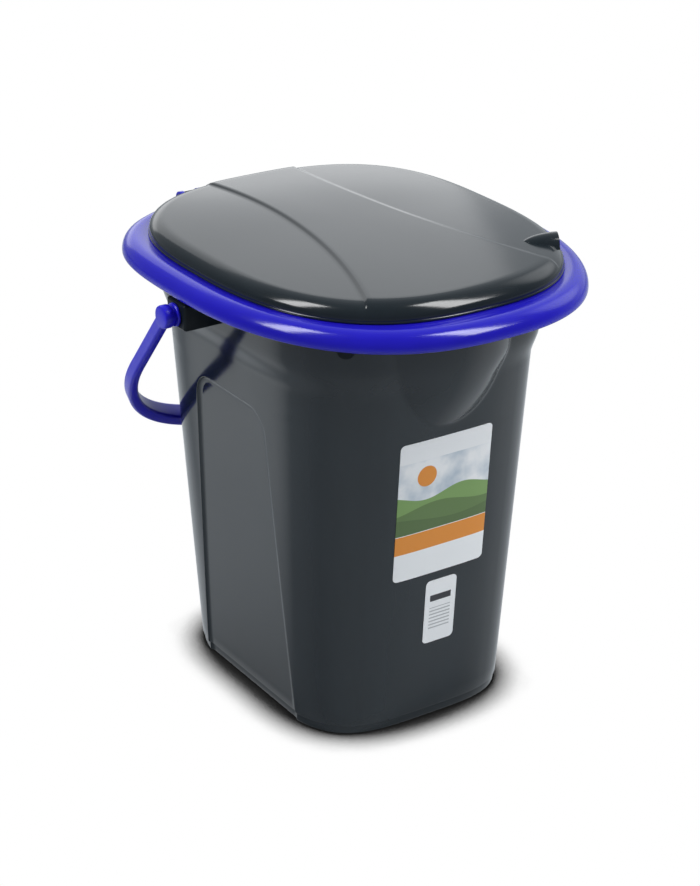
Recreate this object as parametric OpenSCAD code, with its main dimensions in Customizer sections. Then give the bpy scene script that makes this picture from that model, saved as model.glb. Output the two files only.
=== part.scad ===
// Portable camp toilet: a tapered bucket with a bail handle, a lift-off seat ring and a hinged lid.
// Millimetres, +Z up, front towards -Y. The origin is the middle of the base, on the floor.

/* [Bucket] */
// Height of the bucket at its rim
bucket_h = 377; // [350:1:410]
// Width of the base
base_w = 201; // [184:1:216]
// Depth of the base
base_d = 247; // [230:1:264]
// Width at the shoulder
shoulder_w = 228; // [216:1:240]
// Depth at the shoulder
shoulder_d = 295; // [280:1:310]
// Squareness of the bucket's outline, from oval at 2 to square
wall_n = 3.8; // [3.2:0.1:5]
// Wall thickness of the bucket
wall = 2.6; // [2:0.1:4]
// Thickness of the bucket's floor
floor_t = 3; // [2:0.1:6]
// Height of the set-back foot
foot_h = 7; // [4:0.5:12]
// How far the foot is set back from the wall
foot_inset = 2.5; // [1:0.1:5]

/* [Collar and relief] */
// Height of the upright collar above the shoulder
collar_h = 73; // [60:1:90]
// How far the collar stands out from the shoulder
collar_step = 5.5; // [2:0.1:9]
// Height over which the wall flares out to the collar
flare_h = 18; // [12:1:26]
// Depth of the recessed side panels
panel_depth = 3; // [1:0.1:5]
// Distance from the top of a side panel down from the shoulder
panel_drop = 29.5; // [20:0.5:60]
// Corner radius at the top of a side panel
panel_r = 22; // [8:1:26]
// Distance from a panel's edge to the front of the bucket, at the shoulder
panel_margin_top = 98; // [80:1:106]
// Distance from a panel's edge to the front of the bucket, at the base
panel_margin_base = 53; // [48:1:70]
// How far the pouring spout stands out from the collar's front
spout_out = 12; // [6:0.5:16]
// How far the pouring spout reaches down below the shoulder
spout_drop = 29.5; // [16:0.5:50]
// Distance from the pouring spout to the side of the collar
spout_margin = 68; // [58:1:76]
// Height above the shoulder at which the pouring spout is full width
spout_full = 46; // [30:1:56]

/* [Seat] */
// How far the seat ring reaches past the collar at each side
seat_side = 41.6; // [34:0.1:54]
// How far the seat ring reaches past the collar at the front
seat_front = 59.5; // [46:0.1:74]
// How far the seat ring reaches past the collar at the back
seat_back = 11.5; // [7:0.1:16]
// Thickness of the seat's shell
seat_t = 3; // [2.4:0.1:4]
// Clearance between the bucket's rim and the seat
seat_gap = 0.3; // [0.2:0.05:0.6]
// Height of the seat's outer lip
lip_h = 15; // [12:0.1:18]
// How high the ring's rounded edge stands above the ledge under the lid
crest_rise = 0.6; // [0.2:0.1:2]
// Width of the ring's rounded edge
roll_w = 12; // [8:0.5:14]
// Distance from the bucket's inner wall in to the seat's opening, at each side
hole_side = 18.9; // [14:0.1:30]
// Distance from the bucket's front wall in to the seat's opening
hole_front = 23.4; // [18:0.2:32]
// Distance from the bucket's inner wall in to the seat's opening, at the back
hole_back = 40.4; // [32:0.1:52]
// Depth of the splash skirt round the opening
skirt_h = 25; // [18:1:34]

/* [Lid] */
// Distance from the seat's edge in to the lid, at each side
lid_side = 19.3; // [16:0.1:26]
// Distance from the seat's edge in to the lid, at the front
lid_front = 25; // [18:0.5:30]
// Distance from the seat's edge in to the lid, at the back
lid_back = 7.5; // [6:0.1:9]
// Thickness of the lid's shell
lid_t = 2.5; // [2:0.1:3.4]
// Clearance under the lid's edge
lid_gap = 0.4; // [0.3:0.05:0.8]
// Height of the lid's rounded edge
lid_edge_h = 14; // [13:0.5:20]
// Rise of the dome above the rounded edge
dome_rise = 4.6; // [2:0.1:10]
// Height of the raised band along the middle
band_rise = 1.6; // [0.6:0.1:3]
// Half width of the raised band at its waist
band_half_w = 38; // [30:1:54]
// Radius of the raised band's flared edges
band_r = 625; // [500:1:900]
// Direction of the finger lift on the lid's edge, in degrees
lift_turn = 313; // [304:1:316]
// Length of the finger lift
lift_len = 46; // [40:1:54]
// Half width of the finger lift at the lid's edge
lift_half_w = 13; // [10:0.5:16]
// Height of the finger lift at the lid's edge
lift_h = 8; // [6:0.5:10]
// Height of the finger gap under the lift
lift_gap = 9; // [6:0.5:10]

/* [Hinge] */
// Distance of each hinge from the middle
hinge_x = 46; // [36:1:56]
// Radius of a hinge pin
hinge_pin_r = 2.5; // [2:0.1:3]
// Radius of a hinge knuckle
knuckle_r = 6; // [5.4:0.1:6.2]
// Width of a hinge knuckle
knuckle_w = 12; // [8:0.5:18]
// Thickness of a hinge ear
ear_t = 4; // [3:0.5:6]
// Sideways clearance at a hinge knuckle
knuckle_gap = 0.4; // [0.2:0.05:0.8]

/* [Handle] */
// Distance of the handle's pivot below the rim
pivot_drop = 27; // [24:0.1:40]
// Depth of a handle bracket, front to back
bracket_d = 28; // [22:1:40]
// Height of a handle bracket
bracket_h = 22; // [18:0.5:22.5]
// Radius of the handle's pivot pins
pivot_r = 5; // [3.5:0.1:6]
// Length of a pivot pin in its bracket
pivot_len = 22; // [12:1:28]
// Radius of the collar between handle and bracket
flange_r = 9.4; // [8:0.1:10.5]
// Thickness of the handle's arms
strip_t = 8; // [6:0.2:11]
// Width of the handle's arms
strip_w = 10.5; // [9:0.5:14]
// Thickness of the handle's grip, in the middle of the bow
grip_t = 14; // [9:0.5:16]
// Width of the handle's grip, in the middle of the bow
grip_w = 12.5; // [10:0.5:16]
// Length of the handle's straight arms
arm_len = 75; // [50:1:90]
// How far the arms draw in towards the bow
arm_draw = 2.3; // [0:0.1:4]
// Distance from the seat's side to the handle's arm
arm_clear = 1.8; // [1.5:0.1:9]
// Distance from the lid's hinge to the handle as it swings past
swing_clear = 39; // [34:0.5:50]
// Gap between the hanging handle and the bucket's back
hang_gap = 0.8; // [0.5:0.1:4]

/* [Labels] */
// Width of the front label
label_w = 87; // [60:1:92]
// Height of the front label
label_h = 123; // [80:1:140]
// Distance from the pouring spout down to the front label
label_drop = 11; // [6:1:20]
// Width of the small label
tag_w = 30; // [20:1:44]
// Height of the small label
tag_h = 59; // [30:1:62]
// Distance from the front label down to the small label
tag_drop = 8; // [4:1:14]
// Sideways offset of the small label
tag_x = 4; // [-20:1:20]
// Thickness of a label
label_t = 0.3; // [0.2:0.05:0.5]
// Corner radius of a label
label_r = 4; // [1:0.5:8]

/* [Fits] */
// Radial clearance of a turning pin
run_clear = 0.05; // [0.02:0.01:0.1]
// Radial clearance of a pin that is held fast
hold_clear = 0.02; // [0.01:0.01:0.04]
// How deep a fixed piece is let into the shell that carries it
let_in = 1.4; // [1:0.1:2]
// Clearance between a seat tongue and the collar
tongue_gap = 0.6; // [0.3:0.1:1]

/* [Hidden] */
$fn = 64;

anthracite = [0.17, 0.18, 0.19];
blue = [0.16, 0.1, 0.7];
paper = [0.93, 0.93, 0.92];

// Levels, from the floor up
shoulder_z = bucket_h - collar_h;
foot_lip = 1;
wall_z = foot_h + foot_lip;
panel_top = shoulder_z - panel_drop;
spout_z = shoulder_z - spout_drop;
ledge_z = bucket_h + seat_gap + seat_t;
lip_z = ledge_z - lip_h;
lid_z = ledge_z + lid_gap;
pivot_z = bucket_h - pivot_drop;

// Half sizes of the collar, the seat's edge and the lid
collar_hw = shoulder_w / 2 + collar_step;
collar_hd = shoulder_d / 2 + collar_step;
seat_hw = collar_hw + seat_side;
seat_fr = collar_hd + seat_front;
seat_bk = collar_hd + seat_back;
lid_hw = seat_hw - lid_side;
lid_fr = seat_fr - lid_front;
lid_bk = seat_bk - lid_back;
lid_nest = 2.3;
hole_hw = collar_hw - wall - hole_side;
hole_fr = collar_hd - wall - hole_front;
hole_bk = collar_hd - wall - hole_back;

// Hinge axis, just behind the seat's back edge
knuckle_room = 1.5;
hinge_y = seat_bk + knuckle_r + knuckle_room;
hinge_z = lid_z - 4;
ear_x = knuckle_w / 2 + knuckle_gap;

// Handle: straight arms and a half-oval bow, hung against the bucket's back
bracket_x = seat_hw - 3.6;
flange_gap = 0.3;
flange_t = 2.5;
arm_x = seat_hw + arm_clear;
ear_r = knuckle_r + 0.5;
hinge_reach = norm([hinge_y + ear_r, hinge_z - pivot_z]);
bow_rise = hinge_reach + swing_clear - arm_len;
bow_x = arm_x - arm_draw;
hang_turn = hang(0, 90, 20);

// Room between the bow's lower inner edge and the bucket's back, in one direction along the bow
function bow_room(turn, way) =
    let (x = bow_x * cos(way))
    let (reach = arm_len + bow_rise * sin(way))
    let (half = strip_w / 2 + (grip_w - strip_w) / 2 * sin(way))
    let (y = reach * cos(turn) - half * sin(turn))
    let (z = pivot_z - reach * sin(turn) - half * cos(turn))
    x < wall_hw(z) ? y - other_side(x, wall_hw(z), wall_hd(z)) : arm_x;

// How far the handle drops until its bow is hang_gap off the bucket's back, by halving
function hang(low, high, left) =
    let (mid = (low + high) / 2)
    left == 0 ? low
        : min([for (way = [0:5:90]) bow_room(mid, way)]) > hang_gap
        ? hang(mid, high, left - 1)
        : hang(low, mid, left - 1);

// Steps round an outline, and the exponents of the seat's, lid's and opening's rounded outlines
turn_step = 5;
seat_n = [2.42, 3.15];
lid_n = [2.6, 2.75];
hole_n = [2.4, 2.6];

// Polar radius of an egg-shaped outline: half width, front and back reach, exponents front and back
function egg(turn, hw, front, back, n) =
    let (reach = sin(turn) < 0 ? front : back)
    let (power = sin(turn) < 0 ? n[0] : n[1])
    pow(pow(abs(cos(turn)) / hw, power) + pow(abs(sin(turn)) / reach, power), -1 / power);

// Triangles between each pair of neighbouring rings of the same count; wrapped joins last to first
function band_faces(rows, count, wrapped) = [
    for (i = [0:(wrapped ? rows - 1 : rows - 2)])
        for (j = [0:count - 1])
            let (a = i * count + j)
            let (b = i * count + (j + 1) % count)
            let (c = ((i + 1) % rows) * count + j)
            let (d = ((i + 1) % rows) * count + (j + 1) % count)
            each [[a, c, b], [b, c, d]]
];

// Closed solid through a list of rings, with flat caps on the first and the last
module capped_skin(rings) {
    count = len(rings[0]);
    rows = len(rings);
    first = [for (j = [0:count - 1]) j];
    last = [for (j = [count - 1:-1:0]) (rows - 1) * count + j];
    polyhedron([for (r = rings) each r], concat([first], band_faces(rows, count, false), [last]));
}

// Closed ring-shaped solid whose section is the list of rings
module looped_skin(rings) {
    polyhedron([for (r = rings) each r], band_faces(len(rings), len(rings[0]), true));
}

// Bucket wall: half width and half depth at a height, and its outline there
function rise(z) = min(1, max(0, (z - wall_z) / (shoulder_z - wall_z)));
function flare(z) =
    let (u = min(1, max(0, (z - shoulder_z) / flare_h)))
    collar_step * u * u * (3 - 2 * u);
function wall_hw(z) = (base_w + (shoulder_w - base_w) * rise(z)) / 2 + flare(z);
function wall_hd(z) = (base_d + (shoulder_d - base_d) * rise(z)) / 2 + flare(z);
function other_side(place, along, across) = across * pow(1 - pow(place / along, wall_n), 1 / wall_n);
function front_y(x, z) = -other_side(abs(x), wall_hw(z), wall_hd(z));

// Half width of a side panel and of the pouring spout at a height, and how far the spout stands out
panel_step = 2;
function panel_edge(z) =
    let (margin = panel_margin_base + (panel_margin_top - panel_margin_base) * rise(z))
    let (up = min(panel_r, max(0, z - panel_top + panel_r)))
    wall_hd(z) - margin - panel_r + sqrt(panel_r * panel_r - up * up);
function spout_down(z) = min(1, max(0, (shoulder_z + spout_full - z) / (spout_drop + spout_full)));
function spout_edge(z) = (collar_hw - spout_margin) * sqrt(1 - pow(min(0.97, spout_down(z)), 2));
function spout_at(share, z) =
    let (full = (spout_out + collar_step) * sqrt(1 - pow(spout_down(z), 2)))
    max(0, full - flare(z)) * sqrt(1 - share * share);

// Columns of one quarter of the wall: which stretch, and how far along it
corner_steps = 6;
quarter = concat(
    [for (q = [0, 0.5, 1]) ["panel", q]],
    [for (q = [0, 0.5]) ["side", q]],
    [for (k = [0:corner_steps]) ["corner", k / corner_steps]],
    [for (q = [0.5, 1]) ["front", q]],
    [for (q = [0.97, 0.88, 0.7, 0.4, 0]) ["spout", q]]);

// Where the corner starts, as a share of the half depth and of the half width
corner_from = 0.72;
corner_to = 0.6;
corner_a = asin(pow(corner_from, wall_n / 2));
corner_b = acos(pow(corner_to, wall_n / 2));

// A point of the wall in the quarter with +X and the given side of Y; inset goes inwards
function wall_point(stretch, q, z, inset, back) =
    let (hw = wall_hw(z) - inset)
    let (hd = wall_hd(z) - inset)
    let (edge = panel_edge(z))
    let (mouth = spout_edge(z))
    let (sunk = stretch == "panel" && z > foot_h && z <= panel_top ? panel_depth : 0)
    let (start = edge + panel_step)
    let (side_y = stretch == "panel" ? edge * q : start + (corner_from * hd - start) * q)
    let (turn = corner_a + (corner_b - corner_a) * q)
    let (end = mouth + panel_step)
    let (front_x = stretch == "spout" ? mouth * q : corner_to * hw + (end - corner_to * hw) * q)
    let (bulge = stretch == "spout" && !back && z >= spout_z ? spout_at(q, z) : 0)
    let (way = back ? 1 : -1)
    stretch == "panel" || stretch == "side"
        ? [other_side(side_y, hd, hw) - sunk, way * side_y, z]
        : stretch == "corner"
        ? [hw * pow(cos(turn), 2 / wall_n), way * hd * pow(sin(turn), 2 / wall_n), z]
        : [front_x, way * (other_side(front_x, hw, hd) + bulge), z];

// One ring of the bucket's wall, counter-clockwise from +X
function wall_ring(z, inset) =
    let (n = len(quarter))
    let (rear = [for (c = quarter) wall_point(c[0], c[1], z, inset, true)])
    let (fore = [for (c = quarter) wall_point(c[0], c[1], z, inset, false)])
    concat(
        rear,
        [for (k = [n - 2:-1:0]) [-rear[k][0], rear[k][1], z]],
        [for (k = [1:n - 1]) [-fore[k][0], fore[k][1], z]],
        [for (k = [n - 2:-1:1]) fore[k]]);

module bucket() {
    straight = [for (q = [0, 0.25, 0.5, 0.75]) wall_z + (panel_top - panel_r - wall_z) * q];
    rounded = [for (a = [0, 35, 65, 90]) panel_top - panel_r + panel_r * sin(a)];
    relief = [for (q = [0.07, 0.25, 0.55, 1]) panel_top + (shoulder_z - panel_top) * q];
    collar = [for (q = [0.35, 0.65, 1]) shoulder_z + flare_h * q];
    heights = concat(straight, rounded, relief, collar, [shoulder_z + spout_full]);
    fillet = 6;
    color(anthracite)
        capped_skin(concat(
            [wall_ring(0, foot_inset + foot_lip)],
            [wall_ring(foot_lip, foot_inset)],
            [wall_ring(foot_h, foot_inset)],
            [for (z = heights) wall_ring(z, 0)],
            [wall_ring(bucket_h, 0)],
            [wall_ring(bucket_h, wall)],
            [for (k = [len(heights) - 1:-1:1]) wall_ring(heights[k], wall)],
            [wall_ring(wall_z + floor_t + fillet, wall)],
            [wall_ring(floor_t, wall + fillet)]));
}

// A thin label that follows the bowed front: centre, bottom height, width and height
module label(x0, z0, w, h) {
    stand_off = 0.15;
    columns = 8;
    rows = [
        [0, label_r],
        [label_r * 0.3, label_r * 0.3],
        [label_r, 0],
        [h / 2, 0],
        [h - label_r, 0],
        [h - label_r * 0.3, label_r * 0.3],
        [h, label_r]];
    function across(row, k) = x0 + (w / 2 - row[1]) * (2 * k / columns - 1);
    capped_skin([
        for (row = rows)
            let (z = z0 + row[0])
            let (xs = [for (k = [0:columns]) across(row, k)])
            concat(
                [for (x = xs) [x, front_y(x, z) - stand_off - label_t, z]],
                [for (k = [columns:-1:0]) [xs[k], front_y(xs[k], z) - stand_off, z]])
    ]);
}

label_z = spout_z - label_drop - label_h;

module front_label() {
    color(paper) label(0, label_z, label_w, label_h);
}

module small_label() {
    color(paper) label(tag_x, label_z - tag_drop - tag_h, tag_w, tag_h);
}

// A rectangle with its corners cut off
module cut_rectangle(w, h, cut) {
    x = w / 2;
    y = h / 2;
    polygon([[x, y - cut], [x - cut, y], [cut - x, y], [-x, y - cut],
        [-x, cut - y], [cut - x, -y], [x - cut, -y], [x, cut - y]]);
}

// A cylinder along X from one place to another
module x_rod(r, x0, x1) {
    translate([min(x0, x1), 0, 0])
        rotate([0, 90, 0])
            cylinder(r = r, h = abs(x1 - x0));
}

// Handle bracket: a block on the collar with a blind bore for the handle's pivot pin
module handle_bracket(side) {
    inner = collar_hw - let_in;
    end_room = 1;
    bore_end = bracket_x - pivot_len - end_room;
    color(anthracite)
        translate([0, 0, pivot_z])
            difference() {
                translate([side > 0 ? inner : -bracket_x, 0, 0])
                    rotate([90, 0, 90])
                        linear_extrude(bracket_x - inner)
                            cut_rectangle(bracket_d, bracket_h, 2);
                x_rod(pivot_r + run_clear, side * bore_end, side * (bracket_x + 1));
            }
}

module handle_bracket_left() {
    handle_bracket(-1);
}

module handle_bracket_right() {
    handle_bracket(1);
}

// One section of the handle: its inner and outer places in the handle's plane, and its width
function strip_ring(inner, outer, w) =
    let (cut = 1.6)
    let (out = (outer - inner) / norm(outer - inner))
    let (near = inner + out * cut)
    let (far = outer - out * cut)
    [for (p = [
        [inner, w / 2 - cut], [near, w / 2], [far, w / 2], [outer, w / 2 - cut],
        [outer, cut - w / 2], [far, -w / 2], [near, -w / 2], [inner, cut - w / 2]])
        [p[0][0], p[0][1], p[1]]];

// Bail handle: two arms with pivot pins, joined by a half-oval bow with a thicker grip
module handle() {
    flange_x = bracket_x + flange_gap;
    neck_r = pivot_r + 1;
    outer_x = arm_x + strip_t;
    way_step = 6;
    bow = [for (way = [0:way_step:180])
        strip_ring(
            [bow_x * cos(way), arm_len + bow_rise * sin(way)],
            [(bow_x + strip_t) * cos(way), arm_len + (bow_rise + grip_t) * sin(way)],
            strip_w + (grip_w - strip_w) * sin(way))];
    color(blue)
        translate([0, 0, pivot_z])
            rotate([-hang_turn, 0, 0]) {
                for (side = [-1, 1]) {
                    x_rod(pivot_r, side * (bracket_x - pivot_len), side * (arm_x + 1));
                    x_rod(flange_r, side * flange_x, side * (flange_x + flange_t));
                    x_rod(neck_r, side * (flange_x + 1), side * (arm_x + 1));
                    x_rod(flange_r, side * arm_x, side * outer_x);
                }
                capped_skin(concat(
                    [strip_ring([arm_x, 0], [outer_x, 0], strip_w)],
                    bow,
                    [strip_ring([-arm_x, 0], [-outer_x, 0], strip_w)]));
            }
}

// Seat section at one direction: radius and height round the shell, from the lip over the top
function seat_section(turn) =
    let (o = egg(turn, seat_hw, seat_fr, seat_bk, seat_n))
    let (l = egg(turn, lid_hw + lid_nest, lid_fr + lid_nest, lid_bk + lid_nest, lid_n))
    let (h = egg(turn, hole_hw, hole_fr, hole_bk, hole_n))
    let (t = seat_t)
    let (roll = min(roll_w, max(t + 0.5, 0.8 * (o - l))))
    let (foot = lip_z + 2.5)
    let (arc_h = ledge_z + crest_rise - foot)
    let (low = ledge_z - skirt_h)
    [
        [o - 1.4, lip_z], [o - 0.3, lip_z + 1], [o, foot],
        each [for (a = [24, 46, 68, 90]) [o - roll * (1 - cos(a)), foot + arc_h * sin(a)]],
        [l, ledge_z], [h + 16, ledge_z], [h + 7, ledge_z - 1.6], [h + 2, ledge_z - 6], [h, ledge_z - 14], [h, low],
        [h + t, low], [h + t, ledge_z - 14], [h + t + 1.2, ledge_z - 8], [h + t + 3, ledge_z - t - 1.6],
        [h + t + 5, ledge_z - t], [min(l, o - roll) - 1, ledge_z - t],
        each [for (a = [90, 60, 30]) [o - roll + (roll - t) * cos(a), foot + (arc_h - t) * sin(a)]],
        [o - t, foot], [o - t, lip_z + 1], [o - t + 0.6, lip_z]
    ];

module seat_ring() {
    turns = [for (turn = [0:turn_step:359]) turn];
    sections = [for (turn = turns) seat_section(turn)];
    color(blue)
        looped_skin([
            for (k = [0:len(sections[0]) - 1]) [
                for (j = [0:len(turns) - 1])
                    let (p = sections[j][k])
                    [p[0] * cos(turns[j]), p[0] * sin(turns[j]), p[1]]
            ]
        ]);
}

// Tongues under the seat that hug the collar's four corners and keep the seat in place
module seat_tongues() {
    tongue_w = 14;
    tongue_t = 3;
    tongue_h = 36;
    tongue_x = collar_hw * 0.75;
    tongue_y = other_side(tongue_x, collar_hw, collar_hd);
    slope_x = pow(tongue_x / collar_hw, wall_n - 1) / collar_hw;
    slope_y = pow(tongue_y / collar_hd, wall_n - 1) / collar_hd;
    color(anthracite)
        for (side = [-1, 1], way = [-1, 1])
            translate([side * tongue_x, way * tongue_y, ledge_z - seat_t + let_in - tongue_h])
                rotate([0, 0, atan2(way * slope_y, side * slope_x)])
                    translate([tongue_gap, -tongue_w / 2, 0])
                        cube([tongue_t, tongue_w, tongue_h]);
}

// Hinge block: two ears behind the seat's back edge, joined by a bar under the knuckle
module seat_hinge_block(side) {
    ear_front = seat_bk - let_in;
    bar_top = hinge_z - knuckle_r - 0.8;
    bar_h = 5;
    ear_h = 5;
    color(blue)
        translate([side * hinge_x, 0, 0])
            difference() {
                union() {
                    for (ear = [-1, 1]) {
                        translate([0, hinge_y, hinge_z])
                            x_rod(ear_r, ear * ear_x, ear * (ear_x + ear_t));
                        translate([ear > 0 ? ear_x : -ear_x - ear_t, ear_front, bar_top - bar_h])
                            cube([ear_t, hinge_y - ear_front, hinge_z + ear_h - bar_top + bar_h]);
                    }
                    translate([-ear_x - 1, ear_front, bar_top - bar_h])
                        cube([2 * ear_x + 2, hinge_y - ear_front, bar_h]);
                }
                translate([0, hinge_y, hinge_z])
                    x_rod(hinge_pin_r + hold_clear, -ear_x - ear_t - 1, ear_x + ear_t + 1);
            }
}

module seat_hinge_block_left() {
    seat_hinge_block(-1);
}

module seat_hinge_block_right() {
    seat_hinge_block(1);
}

// Hinge pin with a flat head on the outer ear
module hinge_pin(side) {
    head_r = hinge_pin_r + 1.6;
    head_t = 1.4;
    outer = ear_x + ear_t;
    color(anthracite)
        translate([side * hinge_x, hinge_y, hinge_z]) {
            x_rod(hinge_pin_r, -side * outer, side * outer);
            x_rod(head_r, side * outer, side * (outer + head_t));
        }
}

module hinge_pin_left() {
    hinge_pin(-1);
}

module hinge_pin_right() {
    hinge_pin(1);
}

// Half width of the raised band at a place along the lid
band_waist_y = 80;
function band_edge(y) = band_half_w + band_r - sqrt(band_r * band_r - pow(band_waist_y - y, 2));
function in_band(r, turn) = r * abs(cos(turn)) < band_edge(r * sin(turn)) + 0.5;

// Radius at which a direction crosses the band's edge, by halving; the rim's radius if it never does
function band_cross(turn, low, high, left) =
    let (mid = (low + high) / 2)
    left == 0 ? mid
        : mid * abs(cos(turn)) < band_edge(mid * sin(turn))
        ? band_cross(turn, mid, high, left - 1)
        : band_cross(turn, low, mid, left - 1);

// Finger lift: its end on the lid's edge, the way it points and its tip
lift_r = egg(lift_turn, lid_hw, lid_fr, lid_bk, lid_n);
lift_end = lift_r * [cos(lift_turn), sin(lift_turn)];
lift_slope = [
    pow(lift_end[0] / lid_hw, lid_n[0] - 1) / lid_hw,
    -pow(-lift_end[1] / lid_fr, lid_n[0] - 1) / lid_fr];
lift_way = lift_slope / norm(lift_slope);
lift_tip = lift_end - lift_len * lift_way;

// Share of the finger lift's height at a place: a half cone that opens towards the edge
function lift_share(x, y) =
    let (d = [x, y] - lift_tip)
    let (along = min(1, max(0, d * lift_way / lift_len)))
    let (aside = abs(d[0] * lift_way[1] - d[1] * lift_way[0]))
    let (spread = along * lift_half_w)
    aside < spread ? along * sqrt(1 - pow(aside / spread, 2)) : 0;

// Directions round the lid, closer together at the finger lift
lift_spread = 12;
lid_turns = concat(
    [for (turn = [0:turn_step:359]) if (turn < lift_turn - lift_spread - 1) turn],
    [for (k = [0:16]) lift_turn + lift_spread * (k / 8 - 1)],
    [for (turn = [0:turn_step:359]) if (turn > lift_turn + lift_spread + 1) turn]);

// Radii and heights over the lid at one direction, from the skirt's bottom to the middle
function lid_section(turn) =
    let (rim = egg(turn, lid_hw, lid_fr, lid_bk, lid_n))
    let (top_r = rim - 13)
    let (cross = min(band_cross(turn, 0, rim, 14), top_r - 34))
    let (flat = [
        [rim, 0], [rim, lid_edge_h * 0.3], [rim - 1.5, lid_edge_h * 0.58],
        [rim - 5, lid_edge_h * 0.84], [top_r, lid_edge_h],
        [top_r - 10, 0], [top_r - 20, 0], [cross + 1.5, 0], [cross, 0],
        [cross * 0.6, 0], [cross * 0.25, 0], [6, 0]])
    [for (k = [0:len(flat) - 1])
        let (r = flat[k][0])
        let (share = lift_share(r * cos(turn), r * sin(turn)))
        let (dome = k < 5 ? flat[k][1] : lid_edge_h + dome_rise * (1 - pow(r / top_r, 2)))
        let (band = k > 2 && in_band(r, turn) ? band_rise : 0)
        [r, dome + band + (k == 0 ? lift_gap : lift_h) * share]];

module lid() {
    sections = [for (turn = lid_turns) lid_section(turn)];
    rows = len(sections[0]);
    function ring(k, thin) = [
        for (j = [0:len(lid_turns) - 1])
            let (p = sections[j][k])
            let (r = p[0] - (k < 5 ? thin : 0))
            [r * cos(lid_turns[j]), r * sin(lid_turns[j]), lid_z + p[1] - (k > 0 ? thin : 0)]
    ];
    color(anthracite)
        capped_skin(concat(
            [for (k = [0:rows - 1]) ring(rows - 1 - k, lid_t)],
            [for (k = [0:rows - 1]) ring(k, 0)]));
}

// Hinge arm: from inside the lid's back edge out over the seat to the knuckle
module lid_hinge_arm(side) {
    arm_low = lid_z + 2;
    arm_t = 5;
    arm_start = lid_bk - lid_t - let_in;
    color(anthracite)
        translate([side * hinge_x, 0, 0])
            difference() {
                union() {
                    translate([-knuckle_w / 2, arm_start, arm_low])
                        cube([knuckle_w, hinge_y - arm_start, arm_t]);
                    translate([-knuckle_w / 2, hinge_y - knuckle_r, hinge_z])
                        cube([knuckle_w, knuckle_r, arm_low + arm_t - hinge_z]);
                    translate([0, hinge_y, hinge_z])
                        x_rod(knuckle_r, -knuckle_w / 2, knuckle_w / 2);
                }
                translate([0, hinge_y, hinge_z])
                    x_rod(hinge_pin_r + run_clear, -knuckle_w, knuckle_w);
            }
}

module lid_hinge_arm_left() {
    lid_hinge_arm(-1);
}

module lid_hinge_arm_right() {
    lid_hinge_arm(1);
}

bucket();
front_label();
small_label();
handle_bracket_left();
handle_bracket_right();
handle();
seat_ring();
seat_tongues();
seat_hinge_block_left();
seat_hinge_block_right();
hinge_pin_left();
hinge_pin_right();
lid();
lid_hinge_arm_left();
lid_hinge_arm_right();
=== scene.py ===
"""Camp toilet: bucket, bail handle, lift-off seat and hinged lid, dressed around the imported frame."""

import math
from contextlib import contextmanager

import bmesh
import bpy
import numpy as np
from mathutils import Matrix, Vector


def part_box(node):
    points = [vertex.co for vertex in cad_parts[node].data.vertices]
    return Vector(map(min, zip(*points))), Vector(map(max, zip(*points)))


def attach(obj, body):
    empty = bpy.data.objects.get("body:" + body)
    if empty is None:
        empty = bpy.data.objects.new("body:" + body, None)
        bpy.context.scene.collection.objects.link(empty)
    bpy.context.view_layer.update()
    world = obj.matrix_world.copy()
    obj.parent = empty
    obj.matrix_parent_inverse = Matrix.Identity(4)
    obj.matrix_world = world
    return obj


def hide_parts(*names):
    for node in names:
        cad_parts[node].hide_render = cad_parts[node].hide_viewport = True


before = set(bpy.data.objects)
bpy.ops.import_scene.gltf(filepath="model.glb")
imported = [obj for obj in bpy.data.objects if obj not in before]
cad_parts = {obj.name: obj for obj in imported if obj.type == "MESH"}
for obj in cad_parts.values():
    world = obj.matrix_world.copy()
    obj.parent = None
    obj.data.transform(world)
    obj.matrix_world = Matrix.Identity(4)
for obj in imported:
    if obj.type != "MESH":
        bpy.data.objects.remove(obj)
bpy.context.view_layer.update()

bl_info = {
    "name": "Camp toilet",
    "version": (1, 0, 0),
    "blender": (4, 5, 0),
    "location": "3D View > Sidebar > Camp toilet",
    "description": "Models a bucket-style camp toilet around its packed frame",
    "category": "Object",
}

MM = 0.001
MERGE = 0.002 * MM
NEAR = 0.01 * MM
BUCKET_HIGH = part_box("bucket")[1]
SEAT_LOW, SEAT_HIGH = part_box("seat_ring")
LID_LOW, LID_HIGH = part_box("lid")
BRACKET_LOW, BRACKET_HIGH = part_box("handle_bracket_right")
HANDLE_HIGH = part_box("handle")[1]
PIVOT_Z = (BRACKET_LOW.z + BRACKET_HIGH.z) / 2
SEAT_POWERS = (2.42, 3.15)
LID_POWERS = (2.6, 2.75)
HOLE_POWERS = (2.4, 2.6)


def length(text, default):
    """A size in metres that a user may change."""
    return bpy.props.FloatProperty(description=text, default=default, unit="LENGTH", precision=4)


def number(text, default):
    """A plain number that a user may change."""
    return bpy.props.FloatProperty(description=text, default=default, precision=3)


def angle(text, degrees):
    """An angle that a user may change."""
    return bpy.props.FloatProperty(description=text, default=math.radians(degrees), subtype="ANGLE")


def colour(text, default):
    """A linear colour that a user may change."""
    return bpy.props.FloatVectorProperty(
        description=text, default=default, size=3, min=0, max=1, subtype="COLOR")


def labelled(group):
    """Gives each setting of a group its own name as its label."""
    for name, setting in group.__annotations__.items():
        setting.keywords["name"] = name.replace("_", " ").capitalize()
    return group


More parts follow.
